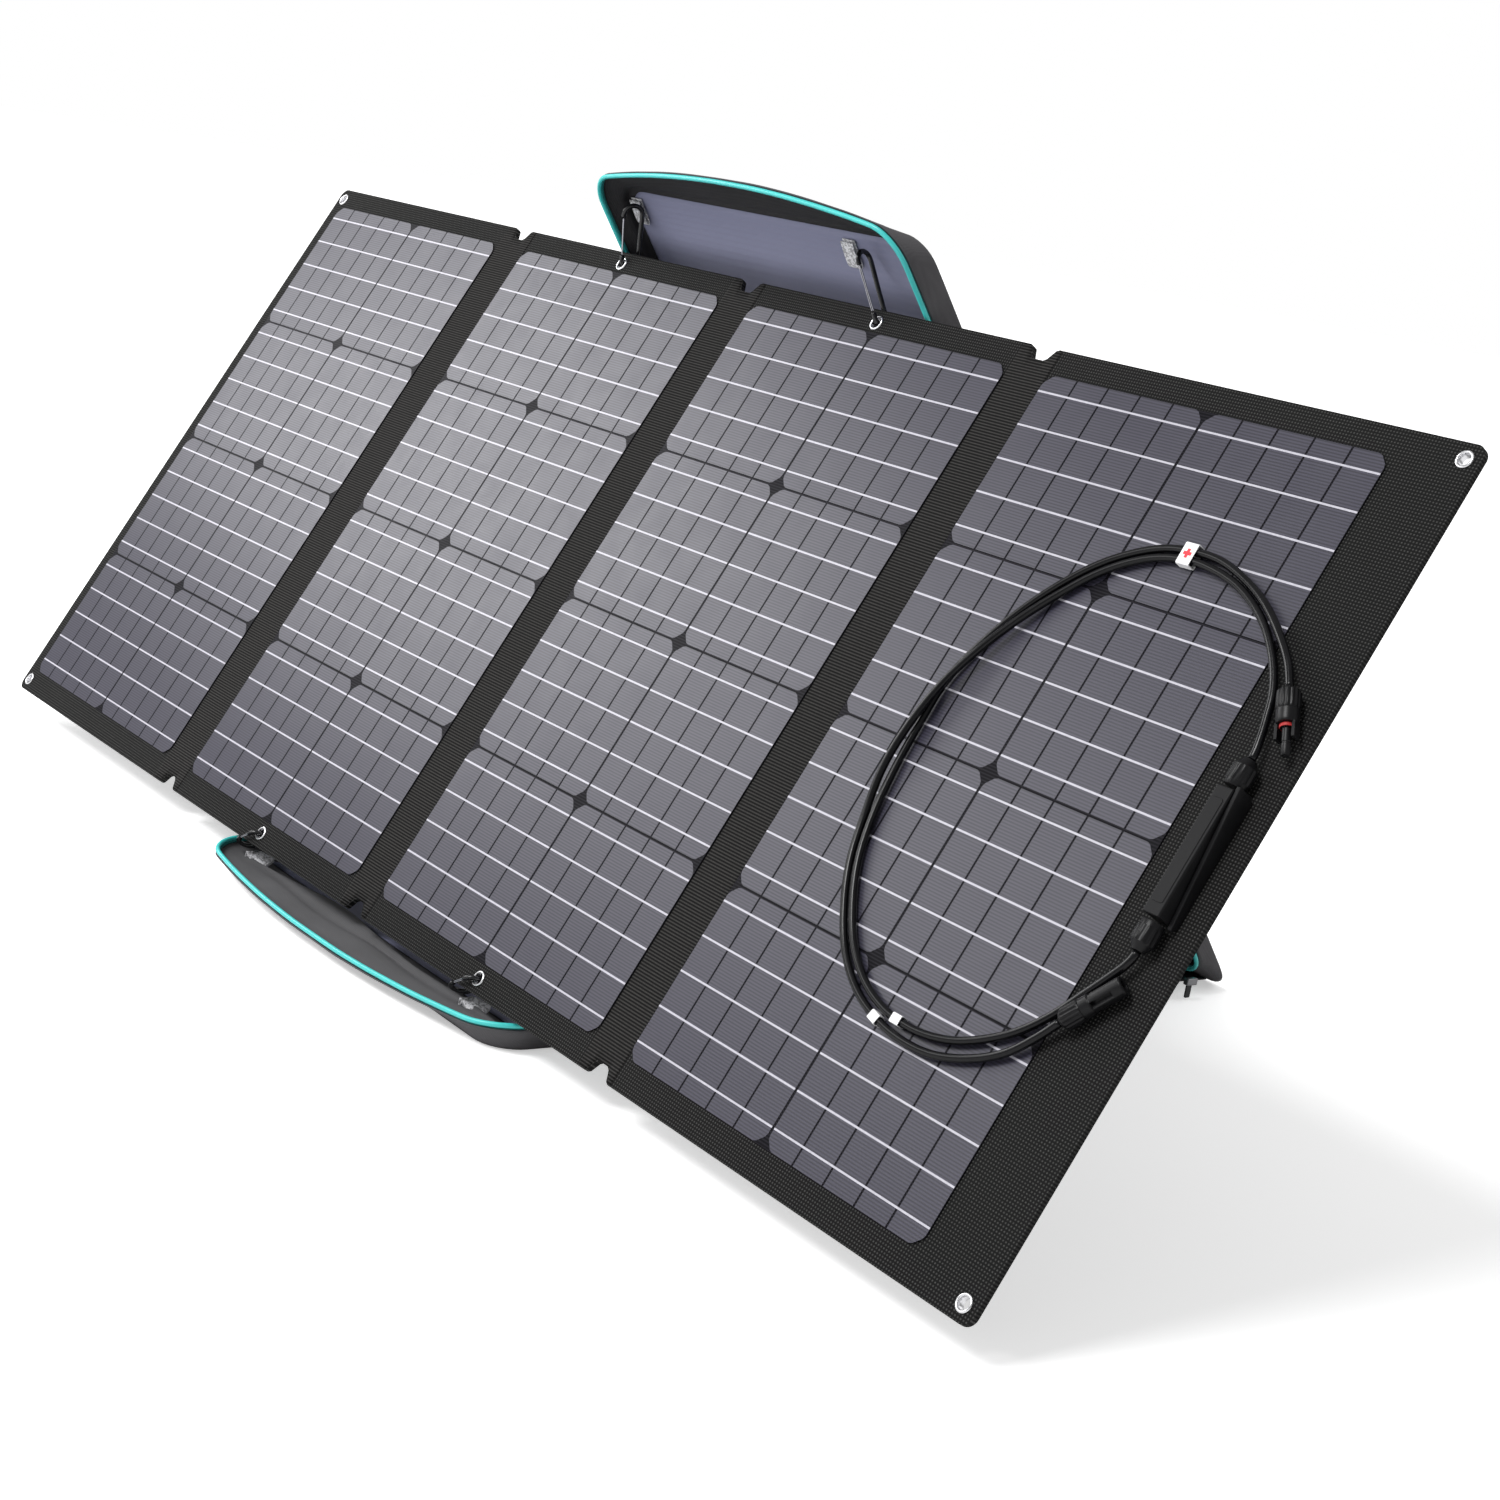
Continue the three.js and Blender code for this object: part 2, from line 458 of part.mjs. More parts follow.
// ---- carry handle on the leg's left wall, zip sliders and pulls at the spine ----------------
{
  const inner = [], outer = [], steps = 12;
  for (let i = 0; i <= steps; i++) {
    const k = i / steps, out = 1 + HANDLE_OUT * Math.sin(Math.PI * k) ** 0.8;
    inner.push(new THREE.Vector2(HANDLE_FROM + HANDLE_LEN * k, out));
    outer.push(new THREE.Vector2(HANDLE_FROM + HANDLE_LEN * k, out + HANDLE_T));
  }
  const s = new THREE.Shape([...inner, ...outer.reverse()]);
  const g = new THREE.ExtrudeGeometry(s, { depth: HANDLE_W, bevelEnabled: false });
  // shape (s, outwards) extruded through the wall's depth, from the wall beside the handle
  const wall = LEG.rimW * (1 + LEG.flare * 0.54), e = legPoint(-wall, 0, 8);
  const along = legPoint(-wall, 1, 8).sub(e), down = legPoint(-wall, 0, 9).sub(e);
  g.applyMatrix4(new THREE.Matrix4().makeBasis(along, V(-1, 0, 0), down).setPosition(e));
  node(root, "carry_handle", g, M.webbing);
}
for (const [side, sx] of [["left", -1], ["right", 1]]) {
  const x = CASE_X + sx * (FLOOR.rimW + 4.3);
  const b = new THREE.BoxGeometry(6.4, 14, 7);
  b.translate(x, ZIP_Y, 18.5);
  node(root, `zip_slider_${side}`, b, M.steel);
  const p = new THREE.ExtrudeGeometry(roundRect(7, 13, 1.5),
    { depth: PULL_T, bevelEnabled: false, curveSegments: 3 });
  p.rotateX(Math.PI / 2);
  p.rotateZ(Math.PI / 2);
  // each pull hangs on the case side of its pivot, so it clears the slider as it swings out
  p.translate(sx < 0 ? x : x - PULL_T, ZIP_Y, 8);
  node(root, `zip_pull_${side}`, p, M.pull);
}

export default root;
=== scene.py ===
"""Looks of the folding solar panel that stands on its own opened carry case."""
import math

import bmesh
import bpy
from mathutils import Matrix, Vector, noise


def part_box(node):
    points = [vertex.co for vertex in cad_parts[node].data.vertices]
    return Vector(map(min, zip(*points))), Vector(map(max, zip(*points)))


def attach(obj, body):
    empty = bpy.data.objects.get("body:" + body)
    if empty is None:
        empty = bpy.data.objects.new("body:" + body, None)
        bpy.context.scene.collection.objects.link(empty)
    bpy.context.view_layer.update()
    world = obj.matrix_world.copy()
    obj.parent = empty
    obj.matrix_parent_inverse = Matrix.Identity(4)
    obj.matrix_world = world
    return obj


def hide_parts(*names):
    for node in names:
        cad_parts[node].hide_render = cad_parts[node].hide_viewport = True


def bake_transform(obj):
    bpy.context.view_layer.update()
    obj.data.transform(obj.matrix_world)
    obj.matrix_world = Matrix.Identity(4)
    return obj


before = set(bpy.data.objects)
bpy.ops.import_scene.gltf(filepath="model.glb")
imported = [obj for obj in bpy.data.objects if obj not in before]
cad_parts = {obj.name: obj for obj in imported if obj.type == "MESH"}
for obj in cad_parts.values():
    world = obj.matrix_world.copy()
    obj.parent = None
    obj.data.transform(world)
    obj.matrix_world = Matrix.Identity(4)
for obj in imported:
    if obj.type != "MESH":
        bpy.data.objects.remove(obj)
scene = bpy.context.scene
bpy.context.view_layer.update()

# ---- driving dimensions, in metres ----
PANEL_H, BOARD_T = 0.655, 0.005
TILT = math.radians(61.5)
EDGE_Z = 0.030  # height of the panel's lower edge
ORIGIN = Vector((-0.785, -0.40204, 0.0))  # left front corner of the open panel, in the shared frame
FOLDS = (0.382, 0.766, 1.148)  # across the panel, from its left edge
CELL_LEFT = (0.017, 0.405, 0.787, 1.168)  # left edge of each leaf's film
CELL_W, CELL_LOW, CELL_HIGH = 0.336, 0.0245, 0.633
COLUMNS, ROWS, STRIPS, BARS = 2, 4, 5, 5  # cells on a leaf, strips in a cell, bars on a cell
COL_GAP, ROW_GAP, STRIP_GAP = 0.0026, 0.0021, 0.0019
CELL_CUT, CELL_EDGE = 0.0078, 0.0004  # a cell's corner, and the film's margin round the cells
FILM_TOP = 0.0013
STRIP_LIFT, BAR_LIFT, STRIP_T = 0.0001, 0.0002, 0.00025
BAR_HALF = 0.00075
FOLD_CLOTH_GAP, FOLD_CLOTH_T, FOLD_CLOTH_Q = 0.0006, 0.0003, 0.00003  # cloth strips over the folds
NOTCH_WIDE, NOTCH_NARROW, NOTCH_DEEP = 0.0145, 0.0090, 0.0115
CASE_X = 0.781  # middle of the case
SPINE = (0.800, 0.0127)  # Y, Z of the leg's rim plane at the spine
FLOOR_Z, LEG_DEPTH = 0.0275, 0.030
# radii of the piping, and of the thinner darker cord under it that is painted shade of the piping
PIPE_R, SHADE_CORD_R = 0.0021, 0.0013
LEAD_R, PLUG_Q = 0.003, 0.0093
BOX_X, BOX_Q = 1.5408, 0.010  # axis of the two glands
HOOK_Q, HOOK_SEAT, HOOK_NEAR, HOOK_FAR, HOOK_R = -0.0024, 0.0086, 0.0080, 0.0090, 0.0022
GATE_FROM, GATE_TO, WIRE_R = 0.12, 0.94, 0.00062
LOOP_T = 0.0011
SHARP = math.radians(30)  # edges that a bevel rounds


def P(x, p, q=0.0):
    """Point at x along the bottom edge, p up the panel, q in front of it."""
    c, s = math.cos(TILT), math.sin(TILT)
    return ORIGIN + Vector((x, p * c - q * s, EDGE_Z + p * s + q * c))


# directions of the panel: to its right, up it, and out of its front
RIGHT, UP, OUT = Vector((1, 0, 0)), P(0, 1) - P(0, 0), P(0, 0, 1) - P(0, 0)


def leg_axes():
    """Directions (Y, Z) of the rear leg: away from the spine, and out of its back."""
    top = Vector((PANEL_H * math.cos(TILT) + BOARD_T * math.sin(TILT),
                  EDGE_Z + PANEL_H * math.sin(TILT) - BOARD_T * math.cos(TILT)))
    spine = Vector(SPINE)
    along = (top - spine).normalized()
    touch = top + Vector((along.y, -along.x)) * 0.0008
    along = (touch - spine).normalized()
    return along, Vector((along.y, -along.x))


LEG_ALONG, LEG_OUT = leg_axes()


def LEG(x, s, d):
    """Point on the rear leg: x from its middle, s from the spine, d behind its rim plane."""
    y, z = Vector(SPINE) + LEG_ALONG * s + LEG_OUT * d
    return ORIGIN + Vector((CASE_X + x, y, z))


def FLOOR(x, s, d):
    """Point on the ground half: x from its middle, s from the spine, d below its rim plane."""
    return ORIGIN + Vector((CASE_X + x, SPINE[0] - s, FLOOR_Z - d))


# ---- camera ----
CAMERA_AT = ORIGIN + Vector((2.5895, -1.0739, 0.6919))
HEADING, FALL, ROLL = math.radians(51.03), math.radians(12.44), math.radians(9.87)
LENS_MM, SENSOR_MM = 61.18, 36.0


def camera():
    """The view from low on the right, rolled so that the panel's right side drops."""
    forward = Vector((-math.sin(HEADING) * math.cos(FALL), math.cos(HEADING) * math.cos(FALL),
                      -math.sin(FALL)))
    side = forward.cross(Vector((0, 0, 1))).normalized()
    up = side.cross(forward)
    right = side * math.cos(ROLL) + up * math.sin(ROLL)
    up = right.cross(forward)
    data = bpy.data.cameras.new("camera")
    data.lens, data.sensor_width = LENS_MM, SENSOR_MM
    data.clip_start, data.clip_end = 0.05, 50.0
    cam = bpy.data.objects.new("camera", data)
    turn = Matrix((right, up, -forward)).transposed().to_4x4()
    cam.matrix_world = Matrix.Translation(CAMERA_AT) @ turn
    scene.collection.objects.link(cam)
    scene.camera = cam


camera()


# ---- mesh helpers ----
def clean(me, weld=0.0, flat=0.0):
    """Weld close points, join faces that lie flat together, and turn all faces outwards."""
    bm = bmesh.new()
    bm.from_mesh(me)
    if weld:
        bmesh.ops.remove_doubles(bm, verts=bm.verts, dist=weld)
    if flat:
        bmesh.ops.dissolve_limit(bm, angle_limit=flat, verts=bm.verts, edges=bm.edges)
    bmesh.ops.recalc_face_normals(bm, faces=bm.faces)
    bm.to_mesh(me)
    bm.free()


def mesh_object(name, verts, faces, materials, body=None, smooth=True, index=None):
    """A piece with outward faces; it rides its body where one is given, and index gives its faces their
    material slots.
    """
    me = bpy.data.meshes.new(name)
    me.from_pydata([tuple(v) for v in verts], [], faces)
    for m in materials if isinstance(materials, (list, tuple)) else [materials]:
        me.materials.append(m)
    if index is not None:
        me.polygons.foreach_set("material_index", index)
    clean(me)
    me.polygons.foreach_set("use_smooth", [smooth] * len(me.polygons))
    ob = bpy.data.objects.new(name, me)
    scene.collection.objects.link(ob)
    if body:
        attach(ob, body)
    return ob


def apply_modifiers(ob):
    """Put the result of an object's modifiers into its mesh and remove them."""
    bpy.context.view_layer.update()
    deps = bpy.context.evaluated_depsgraph_get()
    me = bpy.data.meshes.new_from_object(ob.evaluated_get(deps))
    ob.modifiers.clear()
    ob.data = me


def bevel(ob, width, segments):
    """Round the sharp edges of a mesh and keep its broad faces flat in shading."""
    b = ob.modifiers.new("bevel", "BEVEL")
    b.width, b.segments, b.limit_method, b.angle_limit = width, segments, "ANGLE", SHARP
    apply_modifiers(ob)
    ob.data.polygons.foreach_set("use_smooth", [True] * len(ob.data.polygons))
    w = ob.modifiers.new("normals", "WEIGHTED_NORMAL")
    w.keep_sharp = True
    apply_modifiers(ob)


def soften(node, name, material, body, width, segments=3):
    """A piece in place of a CAD node: the same solid with rounded edges."""
    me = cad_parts[node].data.copy()
    me.materials.clear()
    me.materials.append(material)
    ob = bpy.data.objects.new(name, me)
    scene.collection.objects.link(ob)
    clean(me, 1e-6, math.radians(2))
    bevel(ob, width, segments)
    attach(ob, body)
    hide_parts(node)
    return ob


def catmull(points, step, closed=False):
    """Evenly spaced points on a centripetal Catmull-Rom curve through the given points."""

    def at(t, a, ta, b, tb):
        return a * ((tb - t) / (tb - ta)) + b * ((t - ta) / (tb - ta))

    pts = [Vector(p) for p in points]
    n = len(pts)
    if closed:
        ext = [pts[-1]] + pts + [pts[0], pts[1]]
    else:
        ext = [pts[0] * 2 - pts[1]] + pts + [pts[-1] * 2 - pts[-2]]
    fine = []
    for i in range(n if closed else n - 1):
        p0, p1, p2, p3 = ext[i:i + 4]
        t0, t1 = 0.0, max((p1 - p0).length, 1e-9) ** 0.5
        t2 = t1 + max((p2 - p1).length, 1e-9) ** 0.5
        t3 = t2 + max((p3 - p2).length, 1e-9) ** 0.5
        for k in range(24):
            t = t1 + (t2 - t1) * k / 24
            a1, a2, a3 = at(t, p0, t0, p1, t1), at(t, p1, t1, p2, t2), at(t, p2, t2, p3, t3)
            b1, b2 = at(t, a1, t0, a2, t2), at(t, a2, t1, a3, t3)
            fine.append(at(t, b1, t1, b2, t2))
    fine.append(pts[0].copy() if closed else pts[-1].copy())
    length = [0.0]
    for a, b in zip(fine, fine[1:]):
        length.append(length[-1] + (b - a).length)
    count = max(4, round(length[-1] / step))
    out, j = [], 0
    for i in range(count + (0 if closed else 1)):
        want = length[-1] * i / count
        while j < len(fine) - 2 and length[j + 1] < want:
            j += 1
        f = (want - length[j]) / max(length[j + 1] - length[j], 1e-12)
        out.append(fine[j].lerp(fine[j + 1], f))
    return out


def circle(r, n):
    """A round section of n points."""
    return [(r * math.cos(2 * math.pi * i / n), r * math.sin(2 * math.pi * i / n)) for i in range(n)]


def rounded(w, h, r, n):
    """A rectangular section with corners of radius r, each of n steps."""
    out = []
    x, y = w / 2 - r, h / 2 - r
    for cx, cy, a0 in ((x, y, 0), (-x, y, 90), (-x, -y, 180), (x, -y, 270)):
        for i in range(n + 1):
            a = math.radians(a0 + 90 * i / n)
            out.append((cx + r * math.cos(a), cy + r * math.sin(a)))
    return out


def skin(rows, n, closed=False):
    """Faces between successive rings of n points; closed joins the last ring to the first."""
    faces = []
    for i in range(rows if closed else rows - 1):
        a, b = i * n, (i + 1) % rows * n
        faces += [(a + j, a + (j + 1) % n, b + (j + 1) % n, b + j) for j in range(n)]
    return faces


def sweep(name, path, section, material, body, closed=False, side=None):
    """A section carried along a path; side is the direction that the section's first axis keeps to."""
    n, m = len(path), len(section)
    verts, normal = [], None
    for i, p in enumerate(path):
        before = path[i - 1] if (i or closed) else path[i]
        after = path[(i + 1) % n] if (i < n - 1 or closed) else path[i]
        t = (after - before).normalized()
        if normal is None:
            normal = t.orthogonal()
        want = normal if side is None else side
        normal = (want - t * want.dot(t)).normalized()
        other = t.cross(normal)
        verts += [p + normal * a + other * b for a, b in section]
    faces = skin(n, m, closed)
    if not closed:
        faces += [tuple(range(m))[::-1], tuple((n - 1) * m + j for j in range(m))]
    return mesh_object(name, verts, faces, material, body)


def sheet_faces(rows, cols):
    """Faces of a thin closed sheet of two layers of (rows + 1) by (cols + 1) points, and of its rim."""
    w, n = cols + 1, (rows + 1) * (cols + 1)
    faces = []
    for k in range(rows):
        for j in range(cols):
            a = k * w + j
            faces.append((a, a + w, a + w + 1, a + 1))
            faces.append((n + a, n + a + 1, n + a + w + 1, n + a + w))
    rim = list(range(w)) + [k * w + cols for k in range(1, rows + 1)]
    rim += [rows * w + j for j in range(cols - 1, -1, -1)] + [k * w for k in range(rows - 1, 0, -1)]
    return faces + [(a, b, n + b, n + a) for a, b in zip(rim, rim[1:] + rim[:1])]


def prism_faces(n):
    """Faces of a prism whose 2n points are its lower outline, then its upper one."""
    sides = [(i, (i + 1) % n, n + (i + 1) % n, n + i) for i in range(n)]
    return [tuple(range(n))[::-1], tuple(range(n, 2 * n))] + sides


def lathe(name, profile, origin, axis, material, body, slot, n=40, ribs=0, rib_depth=0.0, ribbed=()):
    """A closed turned solid: profile of (radius, distance along axis), ribbed at the listed points."""
    axis = axis.normalized()
    a = axis.orthogonal().normalized()
    b = axis.cross(a)
    verts = []
    for k in range(n):
        ang = 2 * math.pi * k / n
        for i, (r, h) in enumerate(profile):
            if i in ribbed:
                r -= rib_depth * (0.5 + 0.5 * math.cos(ribs * ang))
            verts.append(origin + axis * h + (a * math.cos(ang) + b * math.sin(ang)) * r)
    ob = mesh_object(name, verts, skin(n, len(profile), True), material)
    clean(ob.data, 1e-7)
    w = ob.modifiers.new("normals", "EDGE_SPLIT")
    w.split_angle = math.radians(40)
    apply_modifiers(ob)
    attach(ob, body)
    return ob


# ---- materials ----
class Shader:
    """A principled material with a few short ways to build its node tree."""

    def __init__(self, name, color, rough, metal=0.0, **values):
        self.mat = bpy.data.materials.new(name)
        self.mat.use_nodes = True
        self.tree = self.mat.node_tree
        self.bsdf = self.tree.nodes["Principled BSDF"]
        self.bsdf.inputs["Base Color"].default_value = (*color, 1)
        self.bsdf.inputs["Roughness"].default_value = rough
        self.bsdf.inputs["Metallic"].default_value = metal
        for key, value in values.items():
            self.bsdf.inputs[key.replace("_", " ")].default_value = value
        self.coord = self.tree.nodes.new("ShaderNodeTexCoord").outputs["Object"]

    def link(self, a, b):
        """Join two sockets."""
        self.tree.links.new(a, b)

    def node(self, kind, **props):
        """A new node with its settings."""
        n = self.tree.nodes.new(kind)
        for k, v in props.items():
            setattr(n, k, v)
        return n

    def math(self, op, a, b=0.0, c=0.0):
        """One operation on sockets and plain numbers."""
        n = self.node("ShaderNodeMath", operation=op)
        for i, v in enumerate((a, b, c)):
            if isinstance(v, (int, float)):
                n.inputs[i].default_value = v
            else:
                self.link(v, n.inputs[i])
        return n.outputs[0]

    def sum(self, a, share_a, b, share_b):
        """Two sockets added in shares."""
        return self.math("MULTIPLY_ADD", a, share_a, self.math("MULTIPLY", b, share_b))

    def along(self, axis, origin=Vector((0, 0, 0))):
        """Distance of the shaded point from origin along a direction."""
        sub = self.node("ShaderNodeVectorMath", operation="SUBTRACT")
        self.link(self.coord, sub.inputs[0])
        sub.inputs[1].default_value = origin
        dot = self.node("ShaderNodeVectorMath", operation="DOT_PRODUCT")
        self.link(sub.outputs[0], dot.inputs[0])
        dot.inputs[1].default_value = axis
        return dot.outputs["Value"]

    def noise(self, scale, detail=3.0):
        """Soft random tone, 0..1."""
        n = self.node("ShaderNodeTexNoise")
        n.inputs["Scale"].default_value = scale
        n.inputs["Detail"].default_value = detail
        n.inputs["Roughness"].default_value = 0.55
        self.link(self.coord, n.inputs["Vector"])
        return n.outputs["Fac"]

    def wave(self, distance, pitch, sharp=1.0):
        """0..1 ridges with a pitch along a distance."""
        s = self.math("SINE", self.math("MULTIPLY", distance, 2 * math.pi / pitch))
        u = self.math("MULTIPLY_ADD", s, 0.5, 0.5)
        return self.math("POWER", u, sharp) if sharp != 1.0 else u

    def mix(self, fac, a, b):
        """A colour between a and b."""
        n = self.node("ShaderNodeMix", data_type="RGBA")
        for socket, v in ((n.inputs[0], fac), (n.inputs[6], a), (n.inputs[7], b)):
            if isinstance(v, tuple):
                socket.default_value = (*v, 1)
            elif isinstance(v, (int, float)):
                socket.default_value = v
            else:
                self.link(v, socket)
        return n.outputs[2]

    def color(self, socket):
        """Use a socket as the base colour."""
        self.link(socket, self.bsdf.inputs["Base Color"])
        return self

    def rough(self, socket, low, high):
        """Roughness from low to high over a 0..1 socket."""
        r = self.node("ShaderNodeMapRange")
        self.link(socket, r.inputs[0])
        r.inputs[3].default_value, r.inputs[4].default_value = low, high
        self.link(r.outputs[0], self.bsdf.inputs["Roughness"])
        return self

    def bump(self, height, distance, strength):
        """Raise the surface in shading."""
        b = self.node("ShaderNodeBump")
        b.inputs["Strength"].default_value = strength
        b.inputs["Distance"].default_value = distance
        self.link(height, b.inputs["Height"])
        self.link(b.outputs[0], self.bsdf.inputs["Normal"])
        return self


def border_cloth():
    """Coarse open weave: rows of small raised knots."""
    s = Shader("border_cloth", (0.010, 0.010, 0.010), 0.75, Specular_IOR_Level=0.08)
    x, p = s.along(RIGHT, P(0, 0)), s.along(UP, P(0, 0))
    knots = s.math("MULTIPLY", s.wave(p, 0.0025, 1.6), s.wave(x, 0.0027, 1.6))
    grain = s.noise(900.0)
    mask = s.math("MULTIPLY", knots, s.math("MULTIPLY_ADD", grain, 1.3, 0.15))
    cloud = s.noise(6.0)
    base = s.mix(cloud, (0.0040, 0.0040, 0.0043), (0.0080, 0.0080, 0.0078))
    s.color(s.mix(mask, base, (0.085, 0.085, 0.082)))
    s.rough(grain, 0.62, 0.9)
    return s.bump(s.math("ADD", knots, s.math("MULTIPLY", grain, 0.3)), 0.0006, 0.8).mat


def rib_cloth():
    """The fold strips: fine ribs that run along the panel."""
    s = Shader("rib_cloth", (0.012, 0.012, 0.012), 0.8, Specular_IOR_Level=0.08)
    p = s.along(UP, P(0, 0))
    ribs = s.wave(p, 0.0025, 1.8)
    grain = s.noise(700.0)
    mask = s.math("MULTIPLY", ribs, s.math("MULTIPLY_ADD", grain, 0.9, 0.3))
    s.color(s.mix(mask, (0.004, 0.004, 0.004), (0.060, 0.058, 0.056)))
    s.rough(grain, 0.65, 0.9)
    return s.bump(ribs, 0.0006, 0.8).mat


def back_cloth():
    """The smooth cloth on the back of the leaves."""
    s = Shader("back_cloth", (0.016, 0.016, 0.017), 0.85, Specular_IOR_Level=0.2)
    x, p = s.along(RIGHT, P(0, 0)), s.along(UP, P(0, 0))
    weave = s.math("MULTIPLY", s.wave(x, 0.0016), s.wave(p, 0.0016))
    cloud = s.noise(5.0, 5.0)
    s.color(s.mix(s.sum(weave, 0.5, cloud, 0.5),
                  (0.010, 0.010, 0.011), (0.042, 0.042, 0.044)))
    s.rough(cloud, 0.7, 0.92)
    return s.bump(weave, 0.0004, 0.6).mat


def silicon(name, low, high):
    """Cell surface under a satin film: fine contact lines along the panel and slow shifts of tone."""
    s = Shader(name, low, 0.4, Specular_IOR_Level=0.45)
    p = s.along(UP, P(0, 0))
    fingers = s.wave(p, 0.0024, 1.3)
    cloud = s.noise(3.2, 2.0)
    tone = s.mix(cloud, low, high)
    s.color(s.mix(fingers, tone, tuple(v * 0.50 for v in low)))
    s.rough(s.noise(40.0), 0.32, 0.42)
    return s.bump(fingers, 0.0001, 0.25).mat


def laminate():
    """The dark film between the cells, with the same fine lines showing through."""
    s = Shader("laminate", (0.01, 0.01, 0.012), 0.5, Specular_IOR_Level=0.05)
    p = s.along(UP, P(0, 0))
    lines = s.wave(p, 0.0024, 1.5)
    s.color(s.mix(lines, (0.0025, 0.0025, 0.004), (0.014, 0.013, 0.017)))
    s.rough(s.noise(60.0), 0.35, 0.5)
    return s.bump(lines, 0.0001, 0.2).mat


def busbar():
    """Tinned ribbon across the cells."""
    s = Shader("busbar", (0.50, 0.49, 0.55), 0.4)
    n = s.noise(300.0)
    s.color(s.mix(n, (0.36, 0.35, 0.40), (0.55, 0.54, 0.60)))
    return s.rough(n, 0.3, 0.5).mat


def moulded(name, color, rough=0.42, shine=0.3):
    """Moulded plastic or rubber with slight wear and a fine grain."""
    s = Shader(name, color, rough, Specular_IOR_Level=shine)
    n = s.noise(1500.0, 2.0)
    wear = s.noise(45.0, 4.0)
    s.color(s.mix(wear, color, tuple(min(1.0, v * 1.9 + 0.002) for v in color)))
    s.rough(wear, rough - 0.08, rough + 0.12)
    return s.bump(n, 0.00006, 0.5).mat


def cable():
    """Smooth black sheath of the leads."""
    s = Shader("lead_sheath", (0.003, 0.003, 0.004), 0.2, Specular_IOR_Level=0.24)
    n = s.noise(70.0, 4.0)
    s.color(s.mix(n, (0.0015, 0.0015, 0.002), (0.005, 0.005, 0.006)))
    s.rough(n, 0.14, 0.30)
    return s.bump(n, 0.0002, 0.3).mat


def plated(name, color, rough=0.14):
    """Plated or cast metal."""
    s = Shader(name, color, rough, 1.0)
    n = s.noise(160.0, 5.0)
    s.rough(n, rough - 0.06, rough + 0.14)
    s.color(s.mix(n, tuple(v * 0.86 for v in color), color))
    return s.bump(s.noise(420.0), 0.00005, 0.3).mat


def woven(name, color, light, pitch, rough=0.85, cloud_scale=7.0):
    """Case cloth: a fine weave with soft wrinkles of tone."""
    s = Shader(name, color, rough, Specular_IOR_Level=0.25)
    slope = Vector((0, 0.7071, 0.7071))
    weave = s.math("MULTIPLY", s.wave(s.along(RIGHT), pitch), s.wave(s.along(slope), pitch))
    cloud = s.noise(cloud_scale, 5.0)
    s.color(s.mix(s.sum(weave, 0.3, cloud, 0.7), color, light))
    s.rough(cloud, rough - 0.12, min(1.0, rough + 0.08))
    soft = s.noise(28.0, 4.0)
    return s.bump(s.sum(weave, 0.25, soft, 0.9), 0.0012, 0.45).mat


def piping_cord():
    """Glossy teal cord along the edges of the case."""
    s = Shader("piping", (0.035, 0.52, 0.50), 0.38, Coat_Weight=0.15, Coat_Roughness=0.3)
    n = s.noise(30.0, 3.0)
    s.color(s.mix(n, (0.03, 0.46, 0.45), (0.055, 0.62, 0.59)))
    s.rough(n, 0.3, 0.48)
    return s.bump(s.noise(500.0), 0.0001, 0.3).mat


def webbing():
    """Speckled grey webbing of the loops and the handle."""
    s = Shader("webbing", (0.30, 0.30, 0.32), 0.9, Sheen_Weight=0.2)
    n, m = s.noise(420.0, 2.0), s.noise(900.0, 1.0)
    blot = s.math("GREATER_THAN", n, 0.5)
    s.color(s.mix(s.sum(blot, 0.7, m, 0.3), (0.22, 0.22, 0.23), (0.72, 0.72, 0.75)))
    s.rough(m, 0.8, 1.0)
    return s.bump(n, 0.0008, 0.8).mat


M = {
    "border": border_cloth(), "rib": rib_cloth(), "back": back_cloth(),
    "cell_a": silicon("silicon_a", (0.037, 0.035, 0.056), (0.055, 0.052, 0.074)),
    "cell_b": silicon("silicon_b", (0.033, 0.031, 0.052), (0.049, 0.046, 0.069)),
    "laminate": laminate(), "busbar": busbar(),
    "plastic": moulded("box_plastic", (0.0035, 0.0035, 0.004), shine=0.16),
    "plug": moulded("plug_plastic", (0.003, 0.003, 0.0035), 0.34, shine=0.2),
    "lead": cable(),
    "seal": moulded("seal_rubber", (0.30, 0.02, 0.02), 0.5),
    "tag": moulded("tag_sleeve", (0.80, 0.80, 0.82), 0.45),
    "plus": moulded("plus_mark", (0.72, 0.03, 0.04), 0.5),
    "chrome": plated("eyelet_chrome", (0.84, 0.84, 0.86), 0.22),
    "wire": plated("wire_chrome", (0.34, 0.34, 0.37), 0.1),
    "hook": moulded("hook_anodised", (0.004, 0.004, 0.005), 0.2, shine=0.5),
    "shell": woven("case_cloth", (0.062, 0.060, 0.064), (0.105, 0.102, 0.108), 0.0011),
    "gusset": woven("gusset_cloth", (0.009, 0.009, 0.010), (0.036, 0.035, 0.038), 0.0013, 0.8, 16.0),
    "slack": woven("slack_cloth", (0.046, 0.046, 0.048), (0.125, 0.124, 0.130), 0.0013, 0.8, 16.0),
    "lining": woven("lining_cloth", (0.165, 0.172, 0.262), (0.225, 0.232, 0.335), 0.0008, 0.62, 5.0),
    # darker teal for the cord under the piping: painted shade of the piping's lower side
    "piping_shade_teal": woven("piping_shade_teal", (0.010, 0.120, 0.120), (0.020, 0.190, 0.185), 0.0010, 0.7, 20.0),
    "piping": piping_cord(),
    "zip": plated("zip_metal", (0.24, 0.24, 0.25), 0.3),
    "webbing": webbing(),
    "pull": moulded("zip_pull_plastic", (0.02, 0.02, 0.022), 0.5),
}

